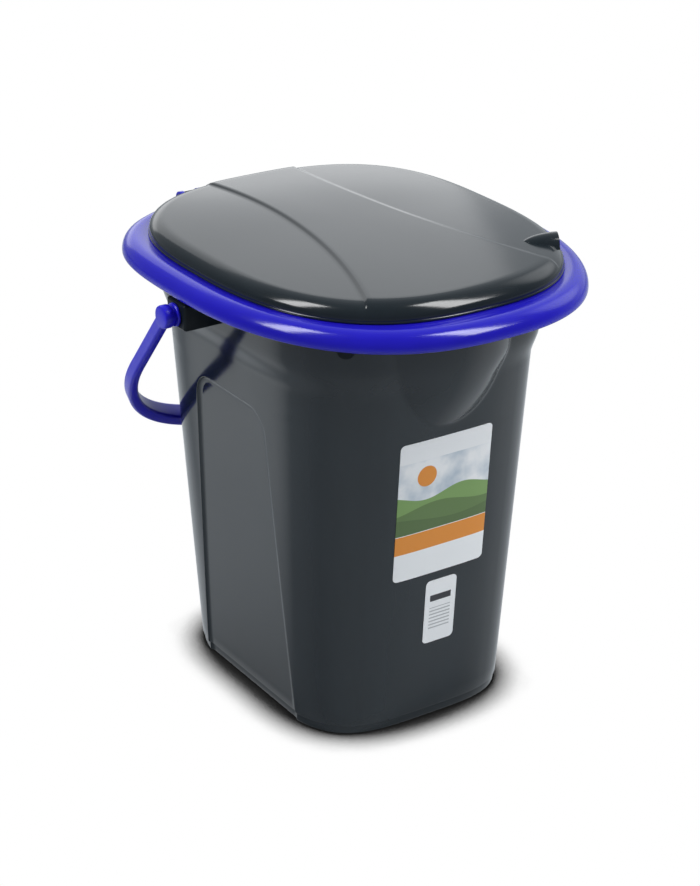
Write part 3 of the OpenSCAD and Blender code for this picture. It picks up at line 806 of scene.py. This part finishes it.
def lid_shell(s):
    """The lid: a band and two wings inside a rounded edge, with a hollow underside and a finger lift."""
    lid = LidTop(s)
    offsets = np.array([-1.6, -0.8, 0, 0.8, 1.6]) * MM
    raises = np.array([1, 0.86, 0.5, 0.14, 0])
    steps, across, wing = 90, 40, 34
    quarter = math.pi / 2
    fronts = np.array([lid.crossing(o, -quarter, 0) for o in offsets])
    backs = np.array([lid.crossing(o, quarter, 0) for o in offsets])
    curves = [lid.edge_curve(o, b, f, steps) for o, b, f in zip(offsets, backs, fronts)]
    flip = np.array([-1, 1])
    parts = []

    def top_sheet(plan, raised):
        x, y = plan[..., 0], plan[..., 1]
        parts.append(sheet(stack(x, y, lid.height(x, y, raised))))

    front_turns = np.linspace(-math.pi - fronts[0], fronts[0], across + 1)
    back_turns = np.linspace(math.pi - backs[0], backs[0], across + 1)
    top_sheet(coons(lid.inner(back_turns), lid.inner(front_turns), curves[0] * flip, curves[0]), 1.0)
    parts.append(sheet(lid.rim_rows(front_turns, 1.0)))
    parts.append(sheet(lid.rim_rows(back_turns, 1.0)))
    corner_back, corner_front = math.radians(42), math.radians(-34)
    run_back = np.linspace(backs[-1], corner_back, wing + 1)
    run_side = np.linspace(corner_back, corner_front, steps + 1)
    run_front = np.linspace(fronts[-1], corner_front, wing + 1)
    round_wing = np.concatenate([run_back, run_side[1:], run_front[::-1][1:]])
    wing_plan = coons(lid.inner(run_back), lid.inner(run_front), curves[-1], lid.inner(run_side))
    strip_plan = np.array(curves)
    for side in (1, -1):
        turn = (lambda a: a) if side > 0 else (lambda a: math.pi - a)
        top_sheet(strip_plan * [side, 1], raises[:, None])
        top_sheet(wing_plan * [side, 1], 0.0)
        parts.append(sheet(lid.rim_rows(turn(fronts), raises)))
        parts.append(sheet(lid.rim_rows(turn(backs), raises)))
        parts.append(sheet(lid.rim_rows(turn(round_wing), 0.0)))
    obj = weld("lid_shell", parts)

    def under(inset, up):
        def ring(start):
            turns = np.arctan2(start[:, 1], start[:, 0])
            return polar(lid_radius(turns, s) - inset, turns, lid.low + up)
        return ring

    def vault(psi, share):
        def ring(start):
            turns = np.arctan2(start[:, 1], start[:, 0])
            rim = lid_radius(turns, s)
            reach = s.edge_width - 1 * MM
            r = (rim - s.shell - reach * (1 - math.cos(psi))) * share
            foot = lid.dome(rim - s.shell, rim) - s.shell - 3 * MM
            z = lid.low + lid.dome(r, rim) - s.shell - foot * (1 - math.sin(psi))
            return polar(r, turns, z)
        return ring

    rings = [under(0.6 * MM, 0), under(s.shell - 0.3 * MM, 0.2 * MM), under(s.shell, 0.6 * MM)]
    rings += [vault(psi, 1) for psi in np.radians([0, 20, 40, 60, 75, 90])]
    rings += [vault(math.pi / 2, share) for share in (0.86, 0.7, 0.52, 0.34, 0.18, 0.06)]
    grow_rings(obj, lambda co: co.z < lid.low + NEAR, rings)
    recalculate(obj)
    return finger_lift(obj, lid)


def finger_lift(obj, lid):
    """A rounded hood at the lid's right front corner, open towards the edge."""
    s = lid.s
    rim = float(lid_radius(np.array(s.lift_turn), s))
    end = Vector((rim * math.cos(s.lift_turn), rim * math.sin(s.lift_turn), lid.low + s.lift_level))
    way = Vector((math.cos(s.lift_heading), math.sin(s.lift_heading), 0))
    turn = Matrix.Rotation(s.lift_heading, 4, "Z")

    def pod(centre, size):
        deselect()
        bpy.ops.mesh.primitive_uv_sphere_add(segments=64, ring_count=40, radius=1, rotation=(0, math.pi / 2, 0))
        settle()
        made = bpy.context.object
        made.data.transform(Matrix.Translation(centre) @ turn @ Matrix.Diagonal((*size, 1)))
        return made

    mouth = end - way * 4.5 * MM
    foot = (0, 0, lid.low + 7 * MM)
    hood = pod(mouth, (s.lift_length, s.lift_half_width, s.lift_height))
    for place, facing in ((mouth, way), (foot, (0, 0, -1))):
        with editing(hood):
            bpy.ops.mesh.bisect(plane_co=place, plane_no=facing, clear_outer=True, use_fill=True)
    recalculate(hood)
    combine(obj, hood, "UNION")
    wall, end_wall = 2 * MM, 4 * MM
    cavity = pod(end - way * 4 * MM, (s.lift_length - end_wall, s.lift_half_width - wall, s.lift_height - wall))
    combine(obj, cavity, "DIFFERENCE")
    return obj


# Handle

def handle_strip(s):
    """The bail with its pivots: a rounded strip along two arms and a half-oval bow that thickens to a grip."""
    arm_out = HANDLE_HIGH.x
    arm_in = arm_out - s.strip
    ways = np.linspace(0, math.pi, 121)
    bow_in = arm_in - s.draw_in
    up = np.linspace(0, 1, 7)[:-1]
    side_x = arm_in - s.draw_in * up

    def run(thickness, rise):
        leg = stack(side_x + thickness, s.arm * up)
        bow = stack((bow_in + thickness) * np.cos(ways), s.arm + rise * np.sin(ways))
        return np.concatenate([leg, bow, leg[::-1] * [-1, 1]])

    inner, outer = run(0, s.rise), run(s.strip, s.rise + s.grip)
    swell = np.concatenate([np.zeros(len(up)), np.sin(ways), np.zeros(len(up))])
    half = (s.width + (s.grip_width - s.width) * swell) / 2
    thick = np.linalg.norm(outer - inner, axis=1)
    out = (outer - inner) / thick[:, None]
    soft = 2.6 * MM
    rows = []
    for first, along, across in ((0, 1, 1), (90, 0, 1), (180, 0, -1), (270, 1, -1)):
        for a in np.radians(first + np.linspace(0, 90, 6)):
            from_in = np.where(along, thick - soft, soft) + soft * math.cos(a)
            plan = inner + out * from_in[:, None]
            rows.append(stack(*plan.T, across * (half - soft) + soft * math.sin(a)))
    obj = weld("handle_bail", [sheet(np.array(rows + rows[:1]))])
    with editing(obj, "DESELECT"):
        bpy.ops.mesh.select_mode(type="EDGE")
        bpy.ops.mesh.select_non_manifold()
        bpy.ops.mesh.fill_holes(sides=0)
    recalculate(obj)
    face = BRACKET_HIGH.x
    flange = face + 0.3 * MM
    edge = 0.6 * MM
    soft = 1.6 * MM
    profile = [
        (face - s.pin_length, s.pin - 1 * MM), (face - s.pin_length + 1 * MM, s.pin), (flange, s.pin),
        (flange, s.flange - edge), (flange + edge, s.flange), (flange + s.flange_width - edge, s.flange),
        (flange + s.flange_width, s.flange - edge), (flange + s.flange_width, s.neck),
        (arm_in - 0.4 * MM, s.neck), (arm_in - 0.4 * MM, s.lobe - soft), (arm_in + 0.2 * MM, s.lobe - 0.5 * MM),
        (arm_in + soft, s.lobe), (arm_out - soft, s.lobe), (arm_out - 0.4 * MM, s.lobe - 0.5 * MM),
        (arm_out, s.lobe - soft)]
    for side in (1, -1):
        pivot = lathe("pivot", profile)
        if side < 0:
            pivot.data.transform(Matrix.Rotation(math.pi, 4, "Z"))
        combine(obj, pivot, "UNION")
    obj.data.transform(Matrix.Translation((0, 0, PIVOT_Z)) @ Matrix.Rotation(-s.hang, 4, "X"))
    return obj


def bracket_block(side, s):
    """A rounded block on the collar with a blind bore for the handle's pin."""
    deselect()
    low, high = BRACKET_LOW, BRACKET_HIGH
    bpy.ops.mesh.primitive_cube_add(size=1, location=(low + high) / 2, scale=high - low)
    settle()
    obj = bpy.context.object
    obj.name = obj.data.name = "bracket_right" if side > 0 else "bracket_left"
    with editing(obj):
        bpy.ops.mesh.bevel(offset=2.2 * MM, segments=5, profile=0.5, affect="EDGES")
    radius = s.pin + 0.05 * MM
    bore = lathe("bore", [(high.x - s.pin_length - 1 * MM, radius), (high.x + 1 * MM, radius)])
    bore.data.transform(Matrix.Translation((0, 0, PIVOT_Z)))
    combine(obj, bore, "DIFFERENCE")
    if side < 0:
        obj.data.transform(Matrix.Rotation(math.pi, 4, "Z"))
    return obj


# Labels

def label_film(name, node, wall):
    """A thin film with rounded corners that follows the bowed front wall."""
    low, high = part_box(node)
    corner = 4 * MM
    rows = np.concatenate([
        low.z + corner * (1 - np.cos(np.radians([0, 20, 40, 60, 75, 90]))),
        np.linspace(low.z + corner, high.z - corner, 25)[1:-1],
        high.z - corner * (1 - np.cos(np.radians([90, 75, 60, 40, 20, 0])))])
    into = np.maximum(0, corner - np.minimum(rows - low.z, high.z - rows))
    pinch = corner - np.sqrt(np.maximum(0, corner ** 2 - into ** 2))
    middle, half = (low.x + high.x) / 2, (high.x - low.x) / 2
    u, z = np.meshgrid(np.linspace(-1, 1, 25), rows, indexing="ij")
    x = middle + u * (half - pinch)[None]
    gap, thickness = 0.12 * MM, 0.25 * MM
    obj = sheet(stack(x, -wall.front_y(x, z) - gap, z))
    obj.name = obj.data.name = name
    recalculate(obj)
    if obj.data.polygons[0].normal.y > 0:
        obj.data.flip_normals()
    return modify(obj, "SOLIDIFY", thickness=thickness, offset=1)


# Finishes

def node_group(name, inputs, outputs):
    """An empty shader node group with named sockets, its input node and its output node."""
    tree = bpy.data.node_groups.new(name, "ShaderNodeTree")
    for label, kind, default in inputs:
        tree.interface.new_socket(label, in_out="INPUT", socket_type=kind).default_value = default
    for label, kind in outputs:
        tree.interface.new_socket(label, in_out="OUTPUT", socket_type=kind)
    return tree, tree.nodes.new("NodeGroupInput"), tree.nodes.new("NodeGroupOutput")


def put(tree, socket, value):
    """Links a socket to another one or gives it a plain value."""
    if isinstance(value, bpy.types.NodeSocket):
        tree.links.new(value, socket)
    else:
        socket.default_value = value


def add_node(tree, kind, inputs):
    """A shader node with its inputs set by name."""
    node = tree.nodes.new("ShaderNode" + kind)
    for label, value in inputs.items():
        put(tree, node.inputs[label], value)
    return node


def noise(tree, vector, scale, detail=2.0, rough=0.5):
    """A noise texture at so many bumps per metre."""
    inputs = {"Vector": vector, "Scale": scale, "Detail": detail, "Roughness": rough}
    return add_node(tree, "TexNoise", inputs).outputs["Fac"]


def remap(tree, value, low, high, to_low=0.0, to_high=1.0):
    """A value carried from one range to another, clamped."""
    inputs = {"Value": value, "From Min": low, "From Max": high, "To Min": to_low, "To Max": to_high}
    return add_node(tree, "MapRange", inputs).outputs["Result"]


def maths(tree, operation, first, second=0):
    """One arithmetic step between sockets or plain numbers."""
    node = tree.nodes.new("ShaderNodeMath")
    node.operation = operation
    put(tree, node.inputs[0], first)
    put(tree, node.inputs[1], second)
    return node.outputs["Value"]


def times(tree, first, second):
    """The product of two sockets or plain numbers."""
    return maths(tree, "MULTIPLY", first, second)


def blend_colours(tree, share, first, second):
    """A colour between two, by share."""
    node = tree.nodes.new("ShaderNodeMix")
    node.data_type = "RGBA"
    put(tree, node.inputs["Factor"], share)
    sockets = [i for i in node.inputs if i.type == "RGBA"]
    for socket, value in zip(sockets, (first, second)):
        put(tree, socket, value if isinstance(value, bpy.types.NodeSocket) else (*value, 1))
    return [o for o in node.outputs if o.type == "RGBA"][0]


def along(tree, direction, way, low, high):
    """A share that grows from 0 to 1 as a direction turns towards way."""
    product = tree.nodes.new("ShaderNodeVectorMath")
    product.operation = "DOT_PRODUCT"
    put(tree, product.inputs[0], direction)
    put(tree, product.inputs[1], way)
    return remap(tree, product.outputs["Value"], low, high)


def bumpy(tree, shader, height, strength, depth):
    """Gives a shader small bumps."""
    bump = add_node(tree, "Bump", {"Strength": strength, "Distance": depth, "Height": height})
    put(tree, shader.inputs["Normal"], bump.outputs["Normal"])


def moulded_skin_group():
    """Moulded plastic: fine orange peel, cloudy polish and faint flow streaks."""
    tree, start, end = node_group(
        "Moulded skin",
        [("Vector", "NodeSocketVector", (0, 0, 0)), ("Peel scale", "NodeSocketFloat", 900.0),
         ("Cloud scale", "NodeSocketFloat", 14.0)],
        [("Height", "NodeSocketFloat"), ("Polish", "NodeSocketFloat"), ("Tone", "NodeSocketFloat")])
    place = start.outputs["Vector"]
    peel = noise(tree, place, start.outputs["Peel scale"], 3.0, 0.6)
    cloud = noise(tree, place, start.outputs["Cloud scale"], 3.0, 0.55)
    drawn = add_node(tree, "Mapping", {"Vector": place, "Scale": (1, 1, 0.12)})
    flow = noise(tree, drawn.outputs["Vector"], 60.0)
    put(tree, end.inputs["Height"], peel)
    put(tree, end.inputs["Polish"], maths(tree, "ADD", times(tree, cloud, 0.7), times(tree, peel, 0.3)))
    put(tree, end.inputs["Tone"], maths(tree, "ADD", times(tree, cloud, 0.5), times(tree, flow, 0.5)))
    return tree


def material(name):
    """An empty node material with its Principled shader and object coordinates."""
    made = bpy.data.materials.new(name)
    made.use_nodes = True
    tree = made.node_tree
    shader = tree.nodes["Principled BSDF"]
    place = tree.nodes.new("ShaderNodeTexCoord").outputs["Object"]
    return made, tree, shader, place


def plastic(name, group, base, glow, polish, peel_scale, peel_depth, shine=0.5):
    """A moulded plastic between two close tones, with its polish range and orange peel."""
    made, tree, shader, place = material(name)
    skin = tree.nodes.new("ShaderNodeGroup")
    skin.node_tree = group
    put(tree, skin.inputs["Peel scale"], peel_scale)
    put(tree, skin.inputs["Vector"], place)
    tone = remap(tree, skin.outputs["Tone"], 0.3, 0.7)
    put(tree, shader.inputs["Base Color"], blend_colours(tree, tone, base, glow))
    put(tree, shader.inputs["Roughness"], remap(tree, skin.outputs["Polish"], 0.3, 0.7, *polish))
    bumpy(tree, shader, skin.outputs["Height"], 0.25, peel_depth)
    put(tree, shader.inputs["IOR"], 1.5)
    put(tree, shader.inputs["Specular IOR Level"], shine)
    return made


def make_finishes(s):
    """All materials of the object, by name."""
    group = moulded_skin_group()
    dark = Vector(s.anthracite)
    blue = Vector(s.blue)
    return {
        "wall": plastic("anthracite_wall", group, dark, dark * 1.25, (0.09, 0.14), 700.0, 0.012 * MM),
        "lid": plastic("anthracite_lid", group, dark, dark * 1.2, (0.12, 0.17), 900.0, 0.012 * MM),
        # The darker, duller copy of the anthracite plastic is painted shade, for the tongues under the seat's
        # front edge, the brackets under the rim and the hinge parts.
        "shaded_anthracite": plastic(
            "anthracite_painted_shade", group, dark * 0.6, dark * 0.8, (0.25, 0.35), 900.0, 0.004 * MM, 0.15),
        "blue": plastic("ultramarine", group, blue, blue * 1.12, (0.14, 0.2), 800.0, 0.015 * MM),
        # The handle's blue is the seat's blue made paler, a lit copy of the same plastic: painted light.
        "strip": plastic(
            "ultramarine_painted_lit", group, blue * 1.35, blue * 1.5, (0.25, 0.35), 800.0, 0.015 * MM, 0.4),
    }


def between(tree, value, low, high, soft=0.15 * MM):
    """1 where a coordinate lies between low and high, with a soft border."""
    rising = remap(tree, value, low - soft, low + soft)
    falling = remap(tree, value, high - soft, high + soft, 1.0, 0.0)
    return times(tree, rising, falling)


def film_material(name, draw, s, low, high):
    """A printed film: a pale card with fields drawn over it in object coordinates."""
    made, tree, shader, place = material(name)
    split = add_node(tree, "SeparateXYZ", {"Vector": place})
    drawn = draw(tree, split.outputs["X"], split.outputs["Z"], place, s, low, high)
    put(tree, shader.inputs["Base Color"], drawn)
    grain = noise(tree, place, 1500.0)
    put(tree, shader.inputs["Roughness"], remap(tree, grain, 0.3, 0.7, 0.28, 0.38))
    bumpy(tree, shader, grain, 0.15, 0.02 * MM)
    return made


def front_print(tree, x, z, place, s, low, high):
    """Rolling waves under a pale field with a disc, and a plain stripe below."""
    height = high.z - low.z
    field = between(tree, z, low.z + 0.34 * height, low.z + 0.86 * height)
    cloud = noise(tree, place, 40.0, 3.0)
    sky = blend_colours(tree, remap(tree, cloud, 0.35, 0.65), s.sky, s.card)
    result = blend_colours(tree, field, s.card, sky)
    hill = Vector(s.hill)
    waves = ((0.60, 90, 0, hill * 2.2), (0.51, 65, 2, hill * 1.3), (0.43, 48, 4.1, hill))
    for share, pitch, shift, tone in waves:
        swing = maths(tree, "SINE", maths(tree, "ADD", times(tree, x, pitch), shift))
        crest = maths(tree, "ADD", times(tree, swing, 0.03 * height), low.z + share * height)
        over = remap(tree, maths(tree, "SUBTRACT", crest, z), -0.15 * MM, 0.15 * MM)
        result = blend_colours(tree, times(tree, over, field), result, tone)
    dx = maths(tree, "SUBTRACT", x, low.x + 0.30 * (high.x - low.x))
    dz = maths(tree, "SUBTRACT", z, low.z + 0.74 * height)
    away = maths(tree, "SQRT", maths(tree, "ADD", times(tree, dx, dx), times(tree, dz, dz)))
    disc = remap(tree, away, 8.85 * MM, 9.15 * MM, 1.0, 0.0)
    result = blend_colours(tree, disc, result, s.sun)
    stripe = between(tree, z, low.z + 0.20 * height, low.z + 0.335 * height)
    return blend_colours(tree, stripe, result, s.sun)


def tag_print(tree, x, z, place, s, low, high):
    """A plain tag with a dark block and a few pale lines."""
    height, width = high.z - low.z, high.x - low.x
    pitch = 3.2 * MM
    inside = between(tree, x, low.x + 0.16 * width, high.x - 0.16 * width)
    block = times(tree, inside, between(tree, z, low.z + 0.66 * height, low.z + 0.76 * height))
    result = blend_colours(tree, block, s.card, s.ink)
    lines = remap(tree, maths(tree, "SINE", times(tree, z, 2 * math.pi / pitch)), 0.3, 0.5)
    zone = times(tree, inside, between(tree, z, low.z + 0.2 * height, low.z + 0.56 * height))
    return blend_colours(tree, times(tree, lines, zone), result, (0.5, 0.5, 0.51))


# Operators

FINISHES = {}


def finishes():
    """The object's materials, made on first use."""
    if not FINISHES:
        FINISHES.update(make_finishes(bpy.context.scene.camp_finishes))
    return FINISHES


class CAMP_OT_bucket(bpy.types.Operator):
    """Model the bucket with its panels, pouring spout, foot and hollow inside."""
    bl_idname = "camp.bucket"
    bl_label = "Bucket"

    def execute(self, context):
        obj = bucket_shell(context.scene.camp_bucket)
        finish_piece(obj, finishes()["wall"], "bucket", ["bucket"], "anthracite_plastic")
        return {"FINISHED"}


class CAMP_OT_labels(bpy.types.Operator):
    """Model the two film labels on the front."""
    bl_idname = "camp.labels"
    bl_label = "Labels"

    def execute(self, context):
        wall = BucketWall(context.scene.camp_bucket)
        s = context.scene.camp_finishes
        films = (("label_film", "front_label", front_print), ("tag_film", "small_label", tag_print))
        for name, node, draw in films:
            obj = label_film(name, node, wall)
            finish_piece(obj, film_material(name, draw, s, *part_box(node)), "bucket", [node], "label_paper")
        return {"FINISHED"}


class CAMP_OT_handle(bpy.types.Operator):
    """Model the bail handle and its two brackets."""
    bl_idname = "camp.handle"
    bl_label = "Handle"

    def execute(self, context):
        s = context.scene.camp_handle
        for side, node in ((-1, "handle_bracket_left"), (1, "handle_bracket_right")):
            obj = bracket_block(side, s)
            # The brackets take the darkened anthracite: painted shade under the rim.
            finish_piece(obj, finishes()["shaded_anthracite"], "bucket", [node], "anthracite_plastic")
        # The bail takes the paler blue: painted light on the handle.
        finish_piece(handle_strip(s), finishes()["strip"], "handle", ["handle"], "blue_plastic", 30)
        return {"FINISHED"}


class CAMP_OT_seat(bpy.types.Operator):
    """Model the seat ring and its tongues."""
    bl_idname = "camp.seat"
    bl_label = "Seat"

    def execute(self, context):
        obj = seat_shell(context.scene.camp_seat, context.scene.camp_lid)
        finish_piece(obj, finishes()["blue"], "seat", ["seat_ring"], "blue_plastic")
        tongues = soften(round_tabs(node_copy("seat_tongues"), 6.6 * MM, 3 * MM), 0.4 * MM)
        # The tongues take the darkened anthracite: painted shade under the seat's front edge.
        finish_piece(tongues, finishes()["shaded_anthracite"], "seat", ["seat_tongues"], "anthracite_plastic")
        return {"FINISHED"}


class CAMP_OT_lid(bpy.types.Operator):
    """Model the lid with its raised band and finger lift."""
    bl_idname = "camp.lid"
    bl_label = "Lid"

    def execute(self, context):
        obj = lid_shell(context.scene.camp_lid)
        finish_piece(obj, finishes()["lid"], "lid", ["lid"], "anthracite_plastic", 35)
        return {"FINISHED"}


class CAMP_OT_hinge(bpy.types.Operator):
    """Model the hinge blocks, pins and arms behind the seat."""
    bl_idname = "camp.hinge"
    bl_label = "Hinge"

    def execute(self, context):
        # The pins and arms take the darkened anthracite: painted shade.
        kinds = (("seat_hinge_block", "seat", "blue", "blue_plastic", 1.2),
                 ("hinge_pin", "seat", "shaded_anthracite", "anthracite_plastic", 0.4),
                 ("lid_hinge_arm", "lid", "shaded_anthracite", "anthracite_plastic", 0.7))
        for kind, body, finish, slot, width in kinds:
            for hand in ("left", "right"):
                node = f"{kind}_{hand}"
                obj = node_copy(node)
                if body == "lid":
                    slope_arm(obj, node, f"hinge_pin_{hand}")
                finish_piece(soften(obj, width * MM), finishes()[finish], body, [node], slot)
        return {"FINISHED"}


class CAMP_OT_stage(bpy.types.Operator):
    """Set up the pale floor, the soft light and the camera."""
    bl_idname = "camp.stage"
    bl_label = "Stage"

    def execute(self, context):
        s = context.scene.camp_stage
        build_floor(s)
        build_world(context.scene)
        build_lights()
        build_camera(context.scene, s)
        context.scene.view_settings.view_transform = "Standard"
        return {"FINISHED"}


# Stage

# Floor tones by the way a ray comes in, seen only in reflections: painted light, and a near-black last tone
# that is painted shade on the handle's underside.
FLOOR_TONES = (
    ((0, 1, 0), 0.0, 0.7, (0.58, 0.63, 0.67)),
    ((-0.94, -0.34, 0), 0.21, 0.6, (0.86, 0.9, 0.93)),
    ((0.498, -0.761, 0.415), 0.95, 0.993, (0.98, 1.02, 1.05)),
    ((-0.05, -0.7, 0.71), 0.915, 0.955, (0.86, 0.9, 0.93)),
    ((-0.498, -0.333, 0.8), 0.965, 0.985, (0.02, 0.02, 0.025)))


def build_floor(s):
    """A wide floor: white with the object's shadow to the camera, and in reflections painted light and shade by
    direction.
    """
    deselect()
    bpy.ops.mesh.primitive_circle_add(vertices=96, radius=6, fill_type="NGON")
    floor = bpy.context.object
    floor.name = "studio_floor"
    made, tree, shader, _ = material("studio_floor")
    tree.nodes.remove(shader)
    incoming = tree.nodes.new("ShaderNodeNewGeometry").outputs["Incoming"]
    ground = (0.42, 0.45, 0.48)
    for way, low, high, tone in FLOOR_TONES:
        ground = blend_colours(tree, along(tree, incoming, way, low, high), ground, tone)
    contact = add_node(tree, "AmbientOcclusion", {"Distance": 0.055})
    contact.samples = 16
    shade = remap(tree, contact.outputs["AO"], 0.55, 0.82, 0.01, 1.0)
    diffuse = add_node(tree, "BsdfDiffuse", {"Color": ground})
    paper = add_node(tree, "Emission", {"Color": blend_colours(tree, shade, (0, 0, 0), (s.floor_tone,) * 3)})
    camera = tree.nodes.new("ShaderNodeLightPath").outputs["Is Camera Ray"]
    either = add_node(tree, "MixShader", {"Fac": camera})
    put(tree, either.inputs[1], diffuse.outputs["BSDF"])
    put(tree, either.inputs[2], paper.outputs["Emission"])
    put(tree, tree.nodes["Material Output"].inputs["Surface"], either.outputs["Shader"])
    floor.data.materials.append(made)


def build_world(scene):
    """A room that is brighter to the back and the right, and plain white to the camera."""
    world = bpy.data.worlds.new("studio_room")
    world.use_nodes = True
    scene.world = world
    tree = world.node_tree
    way = tree.nodes.new("ShaderNodeTexCoord").outputs["Generated"]
    back = blend_colours(tree, along(tree, way, (1, 0, 0), -0.7, 0.7), (0.1, 0.11, 0.12), (0.72, 0.76, 0.8))
    room = blend_colours(tree, along(tree, way, (0, 1, 0), -0.5, 0.5), (0.12, 0.13, 0.14), back)
    room = blend_colours(tree, along(tree, way, (0.86, 0.05, 0.5), 0.92, 0.98), room, (1.6, 1.65, 1.7))
    camera = tree.nodes.new("ShaderNodeLightPath").outputs["Is Camera Ray"]
    put(tree, tree.nodes["Background"].inputs["Color"], blend_colours(tree, camera, room, (1, 1, 1)))


def area_light(name, place, target, size, power):
    """A rectangular softbox at place that faces target."""
    lamp = bpy.data.lights.new(name, "AREA")
    lamp.shape = "RECTANGLE"
    lamp.size, lamp.size_y = size
    lamp.energy = power
    obj = bpy.data.objects.new(name, lamp)
    bpy.context.scene.collection.objects.link(obj)
    obj.location = place
    obj.rotation_euler = (Vector(target) - Vector(place)).to_track_quat("-Z", "Y").to_euler()


def build_lights():
    """Two softboxes over the front, a broad one and a low one behind."""
    middle = (0, 0, 0.3)
    area_light("softbox_left", (-1.0, 0.15, 1.22), middle, (0.35, 0.9), 12)
    area_light("softbox_right", (0.43, -0.84, 1.27), middle, (0.35, 0.9), 12)
    area_light("softbox_back", (0.66, 2.2, 1.3), middle, (2.1, 1.6), 8.0)
    area_light("softbox_low", (0.66, 2.15, 0.72), middle, (2.1, 0.5), 1.5)


def build_camera(scene, s):
    """The camera at the photograph's angle."""
    view = bpy.data.cameras.new("camera")
    view.lens = s.lens
    view.sensor_width = 36
    obj = bpy.data.objects.new("camera", view)
    scene.collection.objects.link(obj)
    level = math.cos(s.elevation)
    back = Vector((math.sin(s.azimuth) * level, -math.cos(s.azimuth) * level, math.sin(s.elevation)))
    right = Vector((math.cos(s.azimuth), math.sin(s.azimuth), 0))
    up = back.cross(right)
    middle, shift_right, shift_up = Vector((0, 0, 0.2)), 0.003, 0.0011
    target = middle + right * shift_right + up * shift_up
    rotation = Matrix((right, up, back)).transposed()
    obj.matrix_world = Matrix.Translation(target + back * s.distance) @ rotation.to_4x4()
    scene.camera = obj


class CAMP_PT_panel(bpy.types.Panel):
    """Lists the pieces of the camp toilet."""
    bl_idname = "CAMP_PT_panel"
    bl_label = "Camp toilet"
    bl_space_type = "VIEW_3D"
    bl_region_type = "UI"
    bl_category = "Camp toilet"

    def draw(self, context):
        for operator in OPERATORS:
            self.layout.operator(operator.bl_idname)


GROUPS = {
    "camp_bucket": BucketSizes, "camp_seat": SeatSizes, "camp_lid": LidSizes, "camp_handle": HandleSizes,
    "camp_finishes": Finishes, "camp_stage": StageSettings}
OPERATORS = (CAMP_OT_bucket, CAMP_OT_labels, CAMP_OT_handle, CAMP_OT_seat, CAMP_OT_lid, CAMP_OT_hinge,
             CAMP_OT_stage)


def register():
    """Registers the classes and hangs the settings on the scene."""
    for group in (*GROUPS.values(), *OPERATORS, CAMP_PT_panel):
        bpy.utils.register_class(group)
    for name, group in GROUPS.items():
        setattr(bpy.types.Scene, name, bpy.props.PointerProperty(type=group))


def unregister():
    """Takes the settings and the classes away again."""
    for name in GROUPS:
        delattr(bpy.types.Scene, name)
    for group in reversed((*GROUPS.values(), *OPERATORS, CAMP_PT_panel)):
        bpy.utils.unregister_class(group)


def main():
    """Builds every piece and the stage."""
    register()
    bpy.ops.camp.bucket()
    bpy.ops.camp.labels()
    bpy.ops.camp.handle()
    bpy.ops.camp.seat()
    bpy.ops.camp.lid()
    bpy.ops.camp.hinge()
    bpy.ops.camp.stage()
    deselect()


if __name__ == "__main__":
    main()
